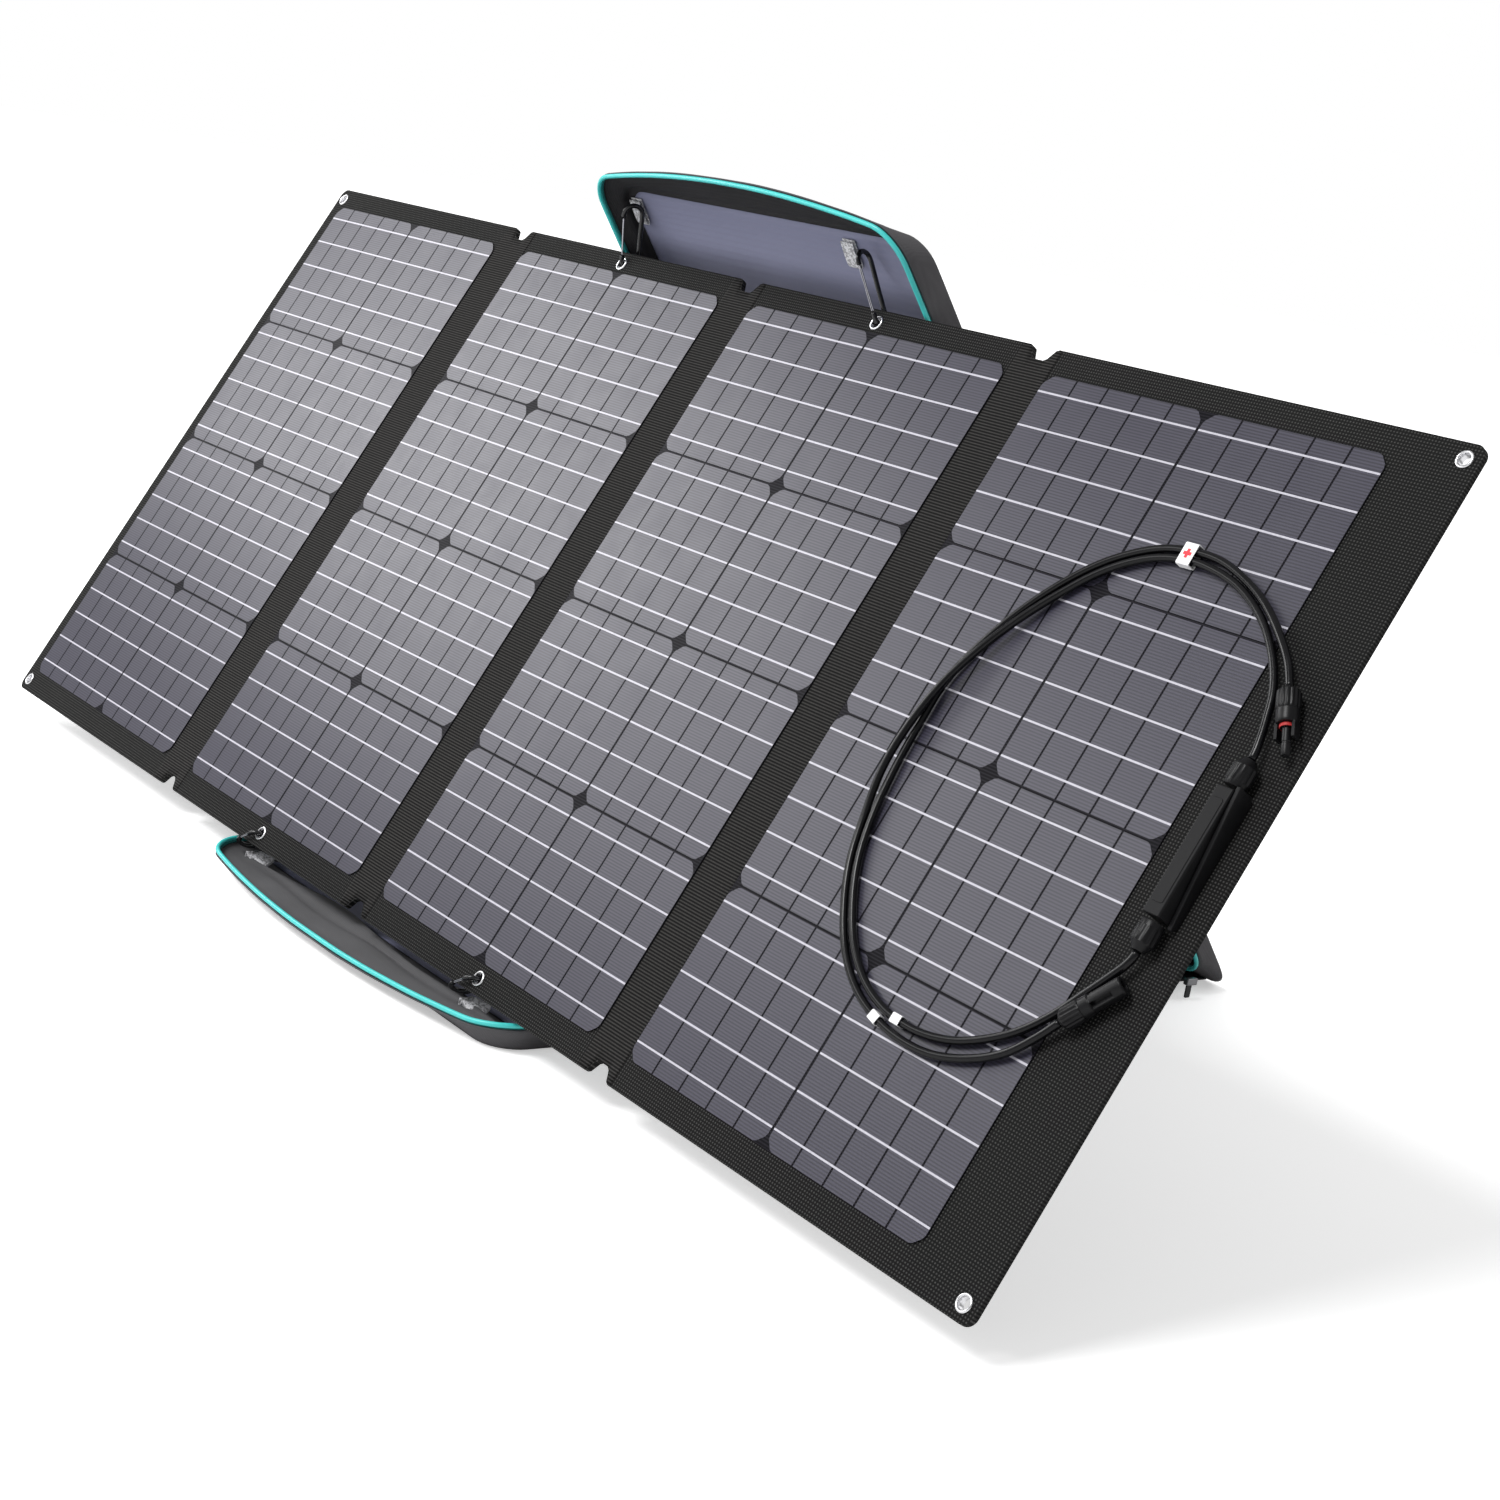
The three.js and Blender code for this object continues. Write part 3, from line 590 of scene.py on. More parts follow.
# ---- leads, laid as in the solids they replace ----
# points across and up the panel; a third number is a height that differs from a lead lying flat
LEAD_Q = 0.0055
UPPER = [
    (1.5408, 0.4014, 0.01), (1.5408, 0.4045, 0.01), (1.539, 0.413, 0.0096), (1.533, 0.43, 0.008),
    (1.524, 0.451, 0.0064), (1.508, 0.473), (1.484, 0.495), (1.452, 0.512), (1.422, 0.519), (1.398, 0.52),
    (1.374, 0.516), (1.35, 0.5055), (1.329, 0.4905), (1.308, 0.468, 0.006), (1.289, 0.441, 0.008),
    (1.2725, 0.4085, 0.011), (1.26, 0.376, 0.0125), (1.2525, 0.34, 0.0125), (1.25, 0.302, 0.0105),
    (1.2558, 0.263, 0.0065), (1.2668, 0.229), (1.286, 0.198), (1.311, 0.17), (1.3405, 0.1504), (1.37, 0.14),
    (1.4, 0.1355), (1.431, 0.137), (1.461, 0.1465), (1.486, 0.161, 0.0061), (1.5035, 0.179, 0.0078),
    (1.5156, 0.1952, 0.0093)
]
LOWER = [
    (1.5408, 0.2576, 0.01), (1.5408, 0.2545, 0.01), (1.538, 0.247, 0.0094), (1.5305, 0.236, 0.008),
    (1.517, 0.217, 0.0062), (1.503, 0.1965), (1.4855, 0.1775), (1.464, 0.1626), (1.441, 0.152),
    (1.414, 0.1462), (1.389, 0.146), (1.371, 0.1484), (1.344, 0.1578), (1.316, 0.176), (1.292, 0.2026),
    (1.2734, 0.2328), (1.2626, 0.265), (1.2564, 0.302), (1.2538, 0.34), (1.254, 0.378), (1.2646, 0.4116),
    (1.2818, 0.4454), (1.3016, 0.473), (1.3246, 0.4966), (1.3482, 0.5126), (1.3734, 0.5234),
    (1.398, 0.5272), (1.424, 0.5266), (1.45, 0.5196), (1.478, 0.507, 0.0059), (1.506, 0.4876, 0.0072),
    (1.5255, 0.4705, 0.0086), (1.5371, 0.4556, 0.0093)
]

# turned profiles of (radius, distance from the cable end)
PIN_SEAL = [(0.0046, 0.0273), (0.0049, 0.0273), (0.0051, 0.0279), (0.0051, 0.0292), (0.0049, 0.0298),
            (0.0046, 0.0298)]
PIN_TIP = [(0.0, 0.0303), (0.0032, 0.0303), (0.0032, 0.040), (0.0028, 0.0404), (0.0028, 0.0412),
           (0.0032, 0.0416), (0.0032, 0.0485), (0.0026, 0.050), (0.0, 0.050)]
NUT_RIBS = (96, 16, 0.0009, (4, 5))  # facets, ribs, rib depth, ribbed profile points


def lead(node, route):
    """One lead swept along its route, riding leaf 4."""
    path = catmull([P(x, p, *(q or (LEAD_Q,))) for x, p, *q in route], 0.0025)
    ob = sweep(f"{node}_cable", path, circle(LEAD_R, 20), M["lead"], "leaf_4")
    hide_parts(node)


def turned(name, node, profile, at, axis, material, slot, *ribs):
    """A turned piece on leaf 4 in place of a CAD node."""
    ob = lathe(name, profile, at, axis, M[material], "leaf_4", slot, *ribs)
    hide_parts(node)
    return ob


def nut(low, wide, shoulder, end):
    """Profile of a plug's nut from its radii at the chamfer, the ribs, the shoulder and the end."""
    return [(0.0, 0.0), (0.0042, 0.0), (0.0052, 0.0006), (low, 0.003), (wide, 0.0036), (wide, 0.0148),
            (shoulder, 0.0166), (end, 0.017), (0.0, 0.017)]


def plug_axis(x, p, dx, dp):
    """Where a plug starts on its lead, and the direction in which it points."""
    return P(x, p, PLUG_Q), (P(dx, dp) - P(0, 0)).normalized()


def plugs():
    """The two round plugs, built as turned shells with ribbed nuts; returns the pieces on each lead."""
    at, axis = plug_axis(1.5374, 0.4551, 0.5, -0.866)
    profile = nut(0.0078, 0.0084, 0.0076, 0.0074)
    pin = [turned("plug_pin_nut_shell", "plug_pin_nut", profile, at, axis, "plug", "plastic", *NUT_RIBS),
           soften("plug_pin_body", "plug_pin_shell", M["plug"], "leaf_4", 0.0003, 2),
           turned("plug_pin_seal_ring", "plug_pin_seal", PIN_SEAL, at, axis, "seal", "seal"),
           turned("plug_pin_tip", "plug_pin_contact", PIN_TIP, at, axis, "plug", "plastic")]
    at, axis = plug_axis(1.516, 0.1956, 0.6, 0.8)
    profile = nut(0.0074, 0.0080, 0.0074, 0.0072)
    socket = [turned("plug_socket_nut_shell", "plug_socket_nut", profile, at, axis, "plug", "plastic",
                     *NUT_RIBS),
              soften("plug_socket_body", "plug_socket_shell", M["plug"], "leaf_4", 0.00025, 2)]
    return pin, socket


def tags():
    """White sleeves on the leads; the large one carries a plain red plus."""
    out = []
    for node in ("tag_plus", "tag_small_outer", "tag_small_inner"):
        out.append(soften(node, node + "_sleeve", M["tag"], "leaf_4", 0.0004))
    sleeve_d = 0.0077
    x, p, q = 1.398, 0.5236, LEAD_Q + sleeve_d / 2
    arm, wide, low, top = 0.0036, 0.0013, 0.00002, 0.0002
    outline = [(-arm, -wide), (-wide, -wide), (-wide, -arm), (wide, -arm), (wide, -wide), (arm, -wide),
               (arm, wide), (wide, wide), (wide, arm), (-wide, arm), (-wide, wide), (-arm, wide)]
    verts = [P(x + a, p + b, q + z) for z in (low, top) for a, b in outline]
    out.append(mesh_object("tag_plus_mark", verts, prism_faces(len(outline)), M["plus"], "leaf_4",
                           smooth=False))
    return out


pin_pieces, socket_pieces = plugs()
tag_pieces = tags()
lead("lead_upper", UPPER)
lead("lead_lower", LOWER)


# ---- leaves ----
LEAF_BODY = ("leaf_1", "panel", "panel", "leaf_4")


def leaves():
    """Cloth-covered boards: open weave in front and at the edges, smooth cloth behind."""
    for i, body in enumerate(LEAF_BODY):
        ob = soften(f"leaf_{i + 1}_board", f"leaf_{i + 1}_cover", M["border"], body, 0.0014)
        ob.data.materials.append(M["back"])
        for f in ob.data.polygons:
            if f.normal.dot(OUT) < -0.5:
                f.material_index = 1


def strip_outline(a, b, low, high, cut_left, cut_right):
    """One strip of a cell; where it holds the cell's corners they are cut off in three short edges."""
    long, mid, short = CELL_CUT * 1.25, CELL_CUT * 0.86, 0.0011
    outline = []
    for x, p, sx, sp, cut in ((a, low, 1, 1, cut_left), (b, low, -1, 1, cut_right),
                              (b, high, -1, -1, cut_right), (a, high, 1, -1, cut_left)):
        corner = [(0, long), (short, mid), (mid, short), (long, 0)]
        if sx * sp < 0:
            corner.reverse()
        outline += [(x + sx * u, p + sp * v) for u, v in corner] if cut else [(x, p)]
    return outline


def cell_field(i):
    """One leaf's film and its cells, each cell cut into strips with bus bars across."""
    soften(f"leaf_{i + 1}_cells", f"leaf_{i + 1}_film", M["laminate"], LEAF_BODY[i], 0.0004, 2)
    col_w, row_h = CELL_W / COLUMNS, (CELL_HIGH - CELL_LOW) / ROWS
    bar_pitch = row_h / BARS
    verts, faces, index = [], [], []

    def slab(outline, top, kind):
        k, n = len(verts), len(outline)
        verts.extend(P(x, p, q) for q in (FILM_TOP - STRIP_T, FILM_TOP + top) for x, p in outline)
        faces.extend(tuple(k + j for j in face) for face in prism_faces(n))
        index.extend([kind] * (n + 2))

    for c in range(COLUMNS):
        left = CELL_LEFT[i] + c * col_w + (COL_GAP / 2 if c else CELL_EDGE)
        right = CELL_LEFT[i] + (c + 1) * col_w - (CELL_EDGE if c else COL_GAP / 2)
        pitch = (right - left + STRIP_GAP) / STRIPS
        for r in range(ROWS):
            base = CELL_LOW + r * row_h
            low = base + (ROW_GAP / 2 if r else CELL_EDGE)
            high = CELL_LOW + (r + 1) * row_h - (ROW_GAP / 2 if r < ROWS - 1 else CELL_EDGE)
            for k in range(STRIPS):
                a, b = left + k * pitch, left + (k + 1) * pitch - STRIP_GAP
                outline = strip_outline(a, b, low, high, k == 0, k == STRIPS - 1)
                slab(outline, STRIP_LIFT, (c * ROWS + r + i) % 2)
            for k in range(BARS):
                p = base + bar_pitch * (k + 0.5)
                a, b = p - BAR_HALF, p + BAR_HALF
                slab([(left, a), (right, a), (right, b), (left, b)], BAR_LIFT, 2)
    mesh_object(f"leaf_{i + 1}_cell_strips", verts, faces, [M["cell_a"], M["cell_b"], M["busbar"]],
                LEAF_BODY[i], smooth=False, index=index)


def strip_inset(u):
    """How far a fold strip stays in from the panel's edge, at a distance u from its fold."""
    plain, notched = 0.0008, NOTCH_DEEP + 0.0004
    if u > NOTCH_WIDE:
        return plain
    if u < NOTCH_NARROW:
        return notched
    return plain + (notched - plain) * (NOTCH_WIDE - u) / (NOTCH_WIDE - NOTCH_NARROW)


def fold_strips():
    """Ribbed cloth over each fold, front and back; the middle fold's strips ride the panel, the others have
    no body.
    """
    cols, rows = 26, 60
    thick = P(0, 0, FOLD_CLOTH_T) - P(0, 0)
    for i, x in enumerate(FOLDS):
        left, right = CELL_LEFT[i] + CELL_W + FOLD_CLOTH_GAP, CELL_LEFT[i + 1] - FOLD_CLOTH_GAP
        for side, q in (("front", FOLD_CLOTH_Q), ("back", -BOARD_T - FOLD_CLOTH_T - FOLD_CLOTH_Q)):
            verts = []
            for k in range(rows + 1):
                for j in range(cols + 1):
                    v = left + (right - left) * j / cols
                    edge = strip_inset(abs(v - x))
                    verts.append(P(v, edge + (PANEL_H - 2 * edge) * k / rows, q))
            verts += [p + thick for p in verts]
            ob = mesh_object(f"fold_{i + 1}_{side}", verts, sheet_faces(rows, cols), M["rib"])
            if i == 1:
                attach(ob, "panel")
            elif i == 0:
                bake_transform(ob)
            else:
                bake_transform(ob)


# place of each eyelet across and up the panel, and the body it is rolled into
EYES = {
    "tl": (0.0125, 0.6425, "leaf_1"), "bl": (0.0125, 0.0125, "leaf_1"),
    "tr": (1.5575, 0.6425, "leaf_4"), "br": (1.5575, 0.0125, "leaf_4"),
    "top_left": (0.569, 0.6425, "panel"), "top_right": (0.951, 0.6425, "panel"),
    "low_left": (0.575, 0.0125, "panel"), "low_right": (0.965, 0.0125, "panel"),
}
# rolled section of (radius, height over the panel's front)
EYELET = [(0.0046, -0.0060), (0.0049, -0.0062), (0.0065, -0.0062), (0.0068, -0.0059), (0.0068, -0.0053),
          (0.0052, -0.0053), (0.0052, 0.0003), (0.0068, 0.0003), (0.0068, 0.0006), (0.0065, 0.0011),
          (0.0060, 0.0014), (0.0054, 0.0014), (0.0049, 0.0011), (0.0046, 0.0006)]


def eyelets():
    """Bright rolled rings through the leaves."""
    for name, (x, p, body) in EYES.items():
        ob = lathe(f"eyelet_{name}_ring", EYELET, P(x, p), OUT, M["chrome"], body, "eyelet", 48)
        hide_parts(f"eyelet_{name}")


leaves()
for leaf_index in range(4):
    cell_field(leaf_index)
fold_strips()
eyelets()


# ---- junction box ----
GLAND = [(0.0, 0.0), (0.0080, 0.0), (0.0082, 0.0003), (0.0082, 0.0035), (0.0090, 0.0042), (0.0090, 0.0145),
         (0.0086, 0.0152), (0.0074, 0.0163), (0.0060, 0.0185), (0.0050, 0.0200), (0.0047, 0.0207),
         (0.0, 0.0207)]
GLAND_RIBS = (72, 12, 0.0008, (4, 5))
LID_X, LID_P, LID_W, LID_H = 1.5413, 0.3295, 0.0098, 0.078


def junction_box():
    """The box with its side cover, a shallow raised lid on its front, and a gland at each end."""
    soften("box_body", "box_housing", M["plastic"], "leaf_4", 0.0007)
    soften("box_cover", "box_side_cover", M["plastic"], "leaf_4", 0.0006)
    loop = [P(LID_X + a, LID_P + b, 0.01935) for a, b in rounded(LID_W, LID_H, 0.002, 5)]
    top = [P(LID_X + a, LID_P + b, 0.0197) for a, b in rounded(LID_W - 0.0006, LID_H - 0.0006, 0.0018, 5)]
    mesh_object("box_lid", loop + top, prism_faces(len(loop)), M["plastic"], "leaf_4",
                smooth=False)
    for name, p, way in (("upper", 0.3803, 1), ("lower", 0.2787, -1)):
        turned(f"gland_{name}_shell", f"box_gland_{name}", GLAND, P(BOX_X, p, BOX_Q), UP * way, "plug",
               "plastic", *GLAND_RIBS)


junction_box()


# ---- carry case ----
END_STEPS, LONG_STEPS, FAR_STEPS, ARC_STEPS = 12, 40, 36, 8


def ring(half_w, s0, s1, r, flare):
    """A rounded rectangle of (x, s) points; flare widens it towards the spine."""
    pts = []

    def line(a, b, n):
        pts.extend((a[0] + (b[0] - a[0]) * i / n, a[1] + (b[1] - a[1]) * i / n) for i in range(1, n))

    def arc(cx, cy, a0):
        for i in range(ARC_STEPS + 1):
            t = a0 + math.pi / 2 * i / ARC_STEPS
            pts.append((cx + r * math.cos(t), cy + r * math.sin(t)))

    x, low, high = half_w - r, s0 + r, s1 - r
    pts.append((0.0, s0))
    line((0, s0), (x, s0), END_STEPS)
    arc(x, low, -math.pi / 2)
    line((half_w, low), (half_w, high), LONG_STEPS)
    arc(x, high, 0)
    line((x, s1), (-x, s1), FAR_STEPS)
    arc(-x, high, math.pi / 2)
    line((-half_w, high), (-half_w, low), LONG_STEPS)
    arc(-x, low, math.pi)
    line((-x, s0), (0, s0), END_STEPS)
    return [(x * (1 + flare * (1 - (s - s0) / (s1 - s0))), s) for x, s in pts]


# insets from the outline, and heights (T) from the rim plane or up from the base
CURL_IN, DISH_T = 0.0018, 0.0002
OUTER_LOW_T, OUTER_TOP_T = 0.0016, 0.0066
LIP_IN, LIP_T, ROLL_IN, ROLL_T = 0.0010, 0.0060, 0.0022, 0.0063
INNER_IN, INNER_LOW_T, INNER_TOP_T, BELLY = 0.0032, 0.0040, 0.0075, 0.0035
BED_IN, BED_T = 0.0040, 0.0030
LINING_IN, LINING_LOW_T, LINING_TOP_T, PUFF = 0.0068, 0.0036, 0.0042, 0.0022
RIDGE = 0.0046  # height of the slack cloth's long folds


class Half:
    """One half of the case: a tray of padded cloth between a base ring and a rim ring.

    rim and base are (half width, start, end, corner radius). lip gives the far rim's bow, and its share of
    drop, across the width. slump is how far the slack inner cloth lies in, foot draws the inner rings in at
    the spine, and tuck draws the right wall in towards the rim.
    """

    def __init__(self, name, body, point, rim, base, flare, depth, lip, drop, slump, seed, foot, tuck):
        self.name, self.body, self.point = name, body, point
        self.rim, self.base, self.flare, self.depth = rim, base, flare, depth
        self.lip, self.drop, self.slump, self.seed = lip, drop, slump, seed
        self.foot, self.tuck = foot, tuck

    def far(self, x, s):
        """How much a point belongs to the far wall, 0 to 1, and its place across it, -1 to 1."""
        t = (s - self.rim[1]) / (self.rim[2] - self.rim[1])
        k = max(-1.0, min(1.0, x / self.rim[0]))
        return max(0.0, min(1.0, (t - 0.9) / 0.1)), k

    def place(self, xs, level, depth, wobble=1.0):
        """A point of the wall: level 1 at the rim, 0 at the base; the cloth waves most halfway up."""
        x, s = xs
        w, k = self.far(x, s)
        bow, tip = self.lip(k)
        s += w * level * bow
        d = depth + w * level * self.drop * tip
        if x > 0:
            side, along = (x / self.rim[0]) ** 3, min(1.0, max(0.0, s / 0.5))
            x -= self.tuck * side * along * (0.25 + 0.75 * level)
        v = Vector((x * 9, s * 9, depth * 40 + self.seed))
        wave = noise.noise(v) * 0.0022 + noise.noise(v * 3.1) * 0.0008
        push = wave * wobble * (1 - abs(2 * level - 1) * 0.7)
        cx, cs = (1 if x > 0 else -1) if abs(x) > self.base[0] * 0.9 else 0, w
        return self.point(x + cx * push, s + cs * push, d + noise.noise(v * 2.3) * 0.0006 * wobble * level)

    def rings(self, inset, level):
        """The outline at a level between base and rim, drawn in by inset."""
        w, s0, s1, r = self.base
        a = ring(w - inset, s0 + inset * self.foot, s1 - inset, r, self.flare)
        w, s0, s1, r = self.rim
        b = ring(w - inset, s0 + inset, s1 - inset, r, self.flare)
        return [(p[0] + (q[0] - p[0]) * level, p[1] + (q[1] - p[1]) * level) for p, q in zip(a, b)]

    def shrunk(self, pts, f):
        """An outline scaled towards the middle of the base."""
        mid = (self.base[1] + self.base[2]) / 2
        return [(x * f, mid + (s - mid) * f) for x, s in pts]

    def sag(self, pts, t):
        """The slack inner cloth of the far wall lies inwards over the lining in long folds."""
        if not self.slump:
            return pts
        out = []
        for x, s in pts:
            w, k = self.far(x, s)
            reach = self.slump * w * (1 - k * k) ** 0.4 * math.sin(math.pi * min(1.0, t * 1.02)) ** 0.8
            wrinkle = noise.noise(Vector((x * 7, t * 4, self.seed))) * 0.35 + 1
            out.append((x, s - reach * wrinkle))
        return out

    def shell(self):
        """The cloth in one closed skin: base, outer wall, rolled rim, inner wall and inner base."""
        fans = (0.25, 0.5, 0.75, 0.92)
        rows = [(self.shrunk(self.rings(0, 0), f), 0, self.depth - DISH_T, "out") for f in fans]
        rows.append((self.rings(CURL_IN, 0), 0, self.depth, "out"))
        low = self.depth - OUTER_LOW_T
        for k in range(9):
            u = k / 8
            rows.append((self.rings(0, u), u, low - (low - OUTER_TOP_T) * u, "out"))
        rows.append((self.rings(LIP_IN, 1), 1, LIP_T, "out"))
        rows.append((self.rings(ROLL_IN, 1), 1, ROLL_T, "in"))
        steps = 20 if self.slump else 9
        for k in range(steps):
            t = k / (steps - 1)
            inset = INNER_IN + BELLY * math.sin(math.pi * t) ** 2
            height = INNER_TOP_T + (self.depth - INNER_LOW_T - INNER_TOP_T) * t
            rows.append((self.sag(self.rings(inset, 1 - t), t), 1 - t, height, "in"))
        for f in fans[::-1]:
            rows.append((self.shrunk(self.rings(BED_IN, 0), f), 0, self.depth - BED_T, "in"))
        n, across = len(rows[0][0]), [self.far(x, s) for x, s in self.rings(INNER_IN, 1)]
        verts = []
        for pts, level, depth, side in rows:
            for (w, k), p in zip(across, pts):
                v = self.place(p, level, depth)
                if side == "in" and self.slump and 0 < level < 1:
                    ridge = math.sin(19 * (1 - level) + 3 * noise.noise(Vector((p[0] * 5, 3, 1))))
                    v.z += RIDGE * ridge * w * (1 - k * k) * math.sin(math.pi * level)
                verts.append(v)
        last = (len(rows) - 1) * n
        faces = skin(len(rows), n) + [tuple(range(n)), tuple(last + j for j in range(n))[::-1]]
        index = [int(side == "in") for *_, side in rows[:-1] for _ in range(n)] + [0, 1]
        inside = M["slack"] if self.slump else M["gusset"]
        ob = mesh_object(f"{self.name}_cloth", verts, faces, [M["shell"], inside], self.body,
                         index=index)
        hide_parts(f"{self.name}_shell")

    def lining(self):
        """The lining on the base, slightly padded away from its edge; it ends before the slack cloth."""
        fans = (1.0, 0.985, 0.95, 0.88, 0.78, 0.64, 0.48, 0.32, 0.16)
        end = self.base[2] - LINING_IN - self.slump * 0.85
        outline = [(x, min(s, end)) for x, s in self.rings(LINING_IN, 0)]
        top, low = [], []
        for f in fans:
            for x, s in self.shrunk(outline, f):
                v = Vector((x * 6, s * 6, self.seed + 5))
                puff = (noise.noise(v) * 0.5 + 0.5) * PUFF * min(1.0, (1 - f) * 12)
                top.append(self.point(x, s, self.depth - LINING_TOP_T - puff))
                low.append(self.point(x, s, self.depth - LINING_LOW_T))
        n, m = len(outline), len(fans)
        b = m * n
        faces = skin(m, n)
        faces += [tuple(b + v for v in f)[::-1] for f in faces]
        faces += [(j, b + j, b + (j + 1) % n, (j + 1) % n) for j in range(n)]
        faces += [tuple(b - n + j for j in range(n)), tuple(2 * b - n + j for j in range(n))[::-1]]
        ob = mesh_object(f"{self.name}_inner_cloth", top + low, faces, M["lining"], self.body)
        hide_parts(f"{self.name}_lining")

    def around(self, piece, inset, depth, radius, facets, material):
        """A cord along the rim."""
        path = catmull([self.place(p, 1, depth, 0.5) for p in self.rings(inset, 1)], 0.006, closed=True)
        return sweep(f"{self.name}_{piece}", path, circle(radius, facets), material, self.body,
                     closed=True)

    def edge(self):
        """The piping, and beside and below it a thinner, darker teal cord that is painted shade of the
        piping's lower side.
        """
        cord = self.around("piping_cord", 0.0013, 0.0026, PIPE_R, 14, M["piping"])
        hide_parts(f"{self.name}_piping")
        # a darker teal cord tucked under the piping: painted shade along its lower side
        self.around("piping_shade_cord", 0.0024, 0.0050, SHADE_CORD_R, 8, M["piping_shade_teal"])


def leg_lip(k):
    """Bow of the leg's far rim at a place k across it; it has no drop."""
    return 0.022 * (1 - k * k), 0.0


def floor_lip(k):
    """Bow and drop of the ground half's far rim; its right end lies further in."""
    return 0.022 * (1 - k * k) + 0.004 - 0.010 * (k + 1) * 0.5, (1 - k * k) ** 0.7


leg = Half("case_leg", "rear_leg", LEG, rim=(0.229, 0.004, 0.845, 0.030), base=(0.222, -0.038, 0.826, 0.026),
           flare=0.083, depth=LEG_DEPTH, lip=leg_lip, drop=0.0, slump=0.0, seed=3.0, foot=2.5, tuck=0.012)
ground = Half("case_floor", "ground_half", FLOOR, rim=(0.249, 0.014, 0.822, 0.034),
              base=(0.240, 0.016, 0.808, 0.032), flare=0.0, depth=FLOOR_Z, lip=floor_lip, drop=0.010,
              slump=0.042, seed=11.0, foot=1.0, tuck=0.0)
for half in (leg, ground):
    half.shell()
    half.lining()
    half.edge()


def spine_band():
    """The flat band of cloth on the ground between the two halves."""
    rows, cols, clear, thick = 12, 60, 0.0003, 0.0011
    verts = []
    lo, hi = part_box("case_spine")
    for layer in (0, 1):
        for i in range(rows + 1):
            for j in range(cols + 1):
                x, y = lo.x + (hi.x - lo.x) * j / cols, lo.y + (hi.y - lo.y) * i / rows
                wave = noise.noise(Vector((x * 12, y * 30, 2.0))) * 0.0003
                verts.append(Vector((x, y, lo.z + clear + layer * thick + wave)))
    ob = mesh_object("case_spine_band", verts, sheet_faces(rows, cols), M["shell"], "ground_half")
    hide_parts("case_spine")


spine_band()

# ---- snap hooks and their webbing loops ----
HOOK_TIPS = {
    "top_left": LEG(0.588 - CASE_X, 0.812, 0.013), "top_right": LEG(0.928 - CASE_X, 0.812, 0.013),
    "low_left": ORIGIN + Vector((0.547, 0.004, 0.022)), "low_right": ORIGIN + Vector((0.937, 0.004, 0.022)),
}


def hook(name):
    """A drop-shaped snap hook: black body, bright wire gate on its front side."""
    x, p, _ = EYES[name]
    tip, eye = HOOK_TIPS[name], P(x, p, HOOK_Q)
    reach = tip - eye
    out = (reach - OUT * reach.dot(OUT)).normalized()
    c1 = eye + out * HOOK_SEAT
    u = (tip - c1).normalized()
    w = (OUT - u * u.dot(OUT)).normalized()
    b = u.cross(w)
    near, far = HOOK_NEAR, HOOK_FAR
    length = (tip - c1).length - far

    def at(s, t):
        return c1 + u * s + w * t

    def side(k):
        return at(k * length, near + (far - near) * k)

    pts = [side(GATE_FROM - 0.03), side(GATE_FROM / 2 - 0.02)]
    pts += [at(-near * math.sin(math.pi * j / 8), near * math.cos(math.pi * j / 8)) for j in range(9)]
    pts += [at(length / 2, -(near + far) / 2)]
    pts += [at(length + far * math.sin(math.pi * j / 8), -far * math.cos(math.pi * j / 8)) for j in range(9)]
    pts += [side(GATE_TO + 0.03)]
    flat = [(a * 0.92, b * 1.04) for a, b in circle(HOOK_R, 16)]
    body = sweep(f"hook_{name}_body", catmull(pts, 0.0012), flat, M["hook"], "panel", side=b)
    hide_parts(f"hook_{name}")
    # gate: a hairpin of wire between its pivot and the nose
    a0, a1 = side(GATE_FROM), side(GATE_TO)
    mid, wide, nose = a0.lerp(a1, 0.5), b * 0.0008, u * 0.0012
    wire = [a0 + wide, mid + wide * 0.8, a1 + wide * 0.6 - nose, a1 - u * 0.0004,
            a1 - wide * 0.6 - nose, mid - wide * 0.8, a0 - wide]
    gate = sweep(f"hook_gate_{name}_wire", catmull(wire, 0.0008), circle(WIRE_R, 10), M["wire"],
                 f"gate_{name}")
    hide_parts(f"hook_gate_{name}")


def strap(node, path, width, side, body):
    """A sewn loop of flat webbing in place of a CAD node."""
    flat = rounded(width, LOOP_T, LOOP_T * 0.45, 3)
    ob = sweep(f"{node}_webbing", catmull(path, 0.0015), flat, M["webbing"], body, side=side)
    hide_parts(node)


def hooks_and_loops():
    """Four hooks, and the loop on the case that each one is snapped into."""
    for name in HOOK_TIPS:
        hook(name)
    bight = ((0.812, 0.0242), (0.800, 0.0235), (0.789, 0.0228), (0.786, 0.0215), (0.789, 0.0202),
             (0.800, 0.0205), (0.811, 0.0215))
    for name, x in (("left", 0.577), ("right", 0.897)):
        path = [LEG(x - CASE_X, s, d) for s, d in bight]
        strap(f"loop_top_{name}", path, 0.0165, RIGHT, "rear_leg")
    for name, x in (("left", 0.547), ("right", 0.937)):
        a, b = Vector((x + 0.024, 0.020, 0.0092)), Vector((x + 0.010, 0.010, 0.0142))
        mid, lift = a.lerp(b, 0.5), Vector((0, 0, 0.0008))
        path = [a - lift, mid - lift * 1.2, b - lift * 0.5, b + (b - a) * 0.12, b + lift * 1.2,
                mid + lift * 1.6, a + lift]
        strap(f"loop_low_{name}", [ORIGIN + v for v in path], 0.018, Vector((0.2, 1, 0)), "ground_half")


hooks_and_loops()


# ---- handle and zip ----
HANDLE_AT, HANDLE_L, HANDLE_OUT, HANDLE_T, HANDLE_STEPS = 0.330, 0.150, 0.026, 0.003, 24


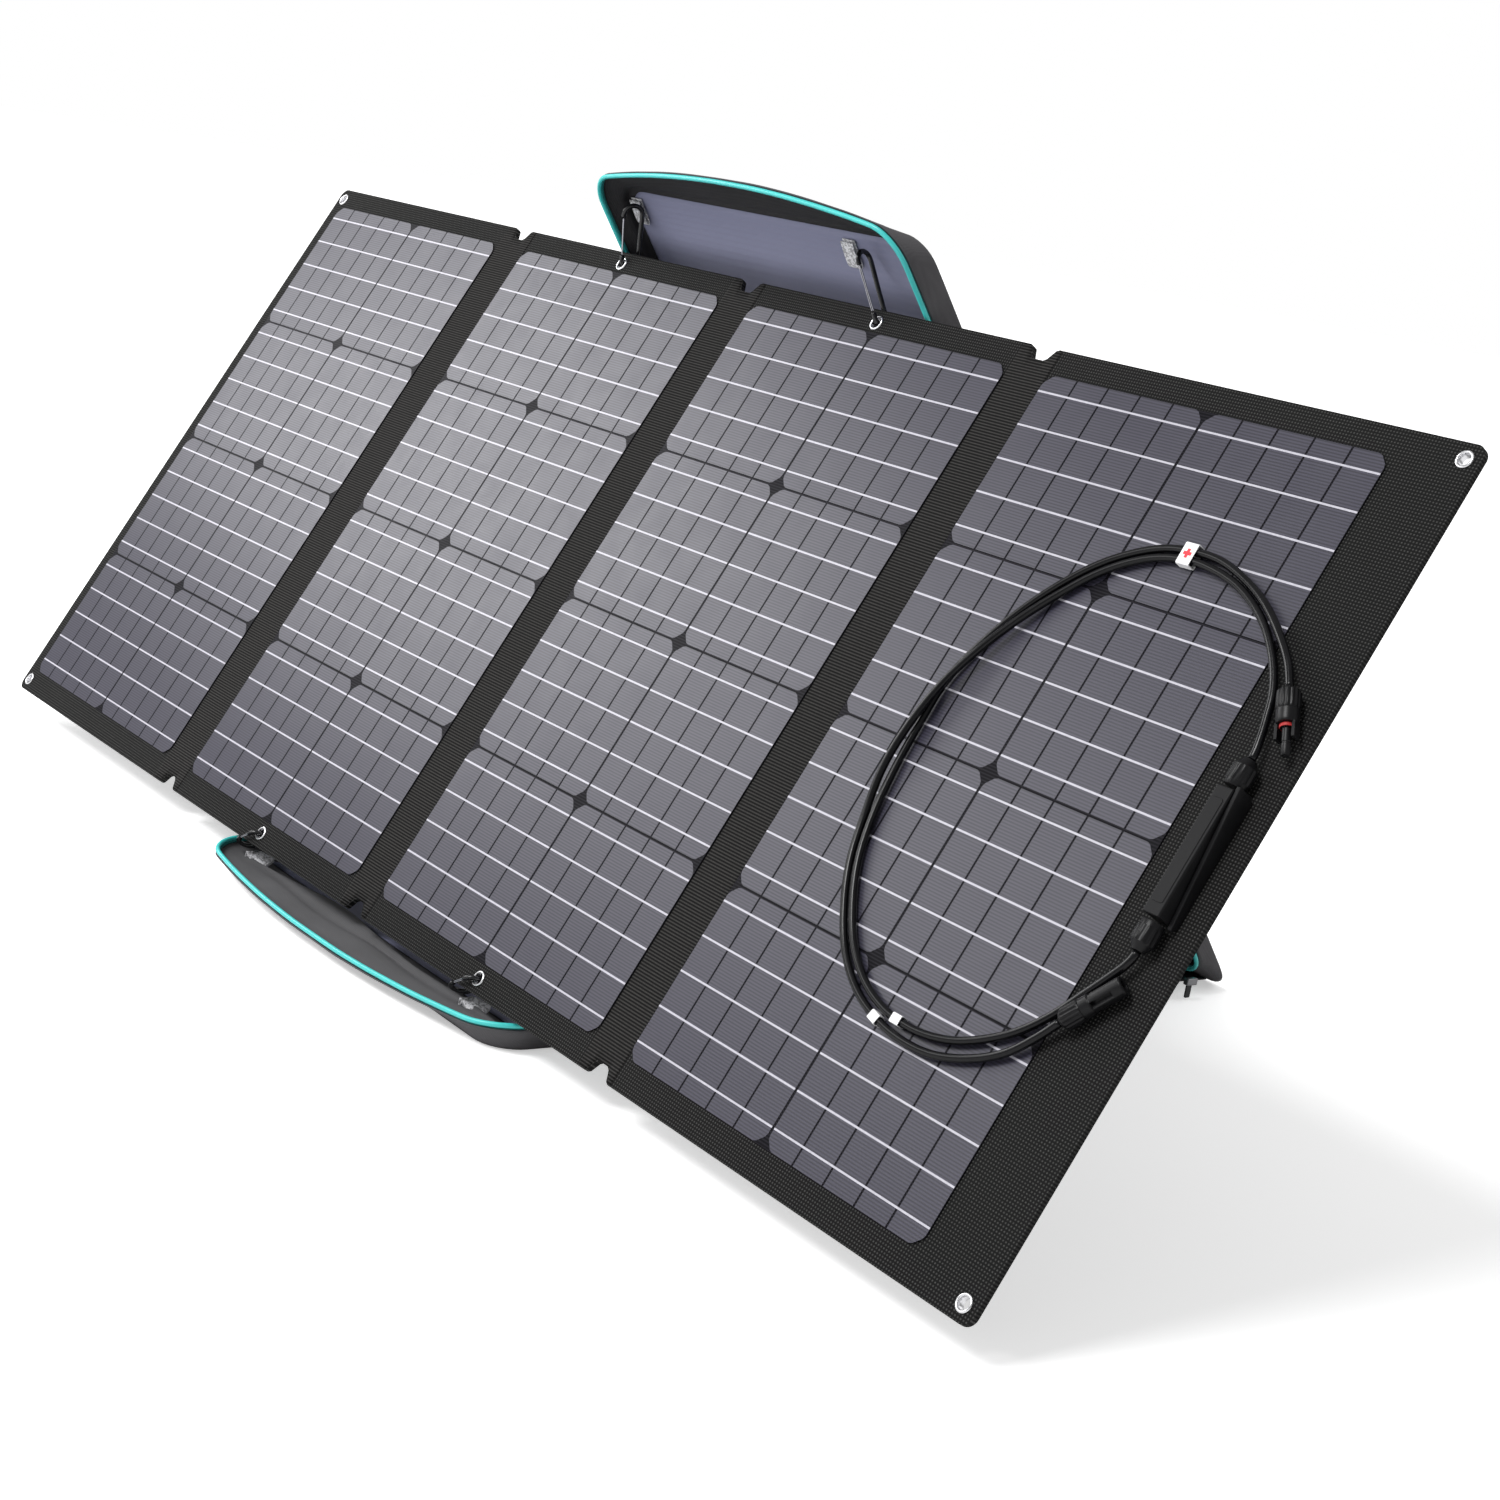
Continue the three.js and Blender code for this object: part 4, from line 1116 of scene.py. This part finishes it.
def carry_handle():
    """A webbing handle on the leg's left wall, with a thicker grip in its middle."""
    wall = leg.rim[0] * (1 + leg.flare * 0.54)
    path = []
    for k in range(HANDLE_STEPS + 1):
        t = k / HANDLE_STEPS
        out = 0.0012 + HANDLE_OUT * math.sin(math.pi * t) ** 0.8 + HANDLE_T / 2
        path.append(LEG(-wall - out, HANDLE_AT + HANDLE_L * t, 0.018))
    side = (LEG(0, 0, 1) - LEG(0, 0, 0)).normalized()
    ob = sweep("carry_handle_webbing", catmull(path, 0.003), rounded(0.0195, HANDLE_T, 0.0012, 3),
               M["webbing"], "rear_leg", side=side)
    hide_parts("carry_handle")
    grip = [p + Vector((-0.0004, 0, 0)) for p in path[8:17]]
    sweep("carry_handle_grip", catmull(grip, 0.003), rounded(0.0205, 0.0048, 0.0016, 3), M["gusset"],
          "rear_leg", side=side)


def zips():
    """The two sliders and their pull tabs."""
    for side in ("left", "right"):
        slider, pull = f"zip_slider_{side}", f"zip_pull_{side}"
        soften(slider, f"{slider}_cast", M["zip"], "ground_half", 0.0012)
        soften(pull, f"{pull}_tab", M["pull"], pull, 0.0005)


carry_handle()
zips()


# ---- stage ----
FLOOR_GLOW, SKY_LIGHT = 0.44, 0.40
SUN_POWER, SUN_SOFT, SUN_FROM = 2.4, math.radians(24), Vector((-0.12, -0.62, 0.78))
# name, place, aim, width and power of each area light
LAMPS = (
    ("sheen", (-2.15, -1.20, 1.33), (-0.2, -0.25, 0.35), 1.0, 21),
    ("fill", (-0.75, -1.75, 1.25), (0.5, -0.25, 0.35), 0.9, 8),
    ("back", (0.5, 2.8, 2.2), (0.0, 0.0, 0.3), 2.5, 20),
)


def stage_floor():
    """A white floor; it glows only for the camera, so that it lights nothing."""
    bpy.ops.mesh.primitive_plane_add(size=60, location=(0, 0, -0.0005))
    floor = bpy.context.object
    floor.name = "floor"
    s = Shader("floor", (0.97, 0.97, 0.97), 0.9, Specular_IOR_Level=0.0)
    glow = s.node("ShaderNodeLightPath").outputs["Is Camera Ray"]
    s.link(s.math("MULTIPLY", glow, FLOOR_GLOW), s.bsdf.inputs["Emission Strength"])
    s.bsdf.inputs["Emission Color"].default_value = (1, 1, 1, 1)
    floor.data.materials.append(s.mat)


def stage_world():
    """White to the camera, dimmer as a light."""
    world = bpy.data.worlds.new("world")
    scene.world = world
    world.use_nodes = True
    tree = world.node_tree
    seen, light = tree.nodes["Background"], tree.nodes.new("ShaderNodeBackground")
    seen.inputs[0].default_value = light.inputs[0].default_value = (1, 1, 1, 1)
    seen.inputs[1].default_value, light.inputs[1].default_value = 1.0, SKY_LIGHT
    path, mix = tree.nodes.new("ShaderNodeLightPath"), tree.nodes.new("ShaderNodeMixShader")
    tree.links.new(path.outputs["Is Camera Ray"], mix.inputs[0])
    tree.links.new(light.outputs[0], mix.inputs[1])
    tree.links.new(seen.outputs[0], mix.inputs[2])
    tree.links.new(mix.outputs[0], tree.nodes["World Output"].inputs[0])


def stage_lights():
    """A soft sun from the front, and three area lights."""
    sun = bpy.data.objects.new("key", bpy.data.lights.new("key", "SUN"))
    sun.data.energy, sun.data.angle = SUN_POWER, SUN_SOFT
    sun.rotation_euler = SUN_FROM.to_track_quat("Z", "Y").to_euler()
    scene.collection.objects.link(sun)
    for name, at, aim, size, power in LAMPS:
        data = bpy.data.lights.new(name, "AREA")
        data.size, data.energy = size, power
        lamp = bpy.data.objects.new(name, data)
        at, aim = Vector(at), Vector(aim)
        turn = (at - aim).to_track_quat("Z", "Y").to_matrix().to_4x4()
        lamp.matrix_world = Matrix.Translation(at) @ turn
        scene.collection.objects.link(lamp)


stage_floor()
stage_world()
stage_lights()
scene.view_settings.view_transform = "Standard"
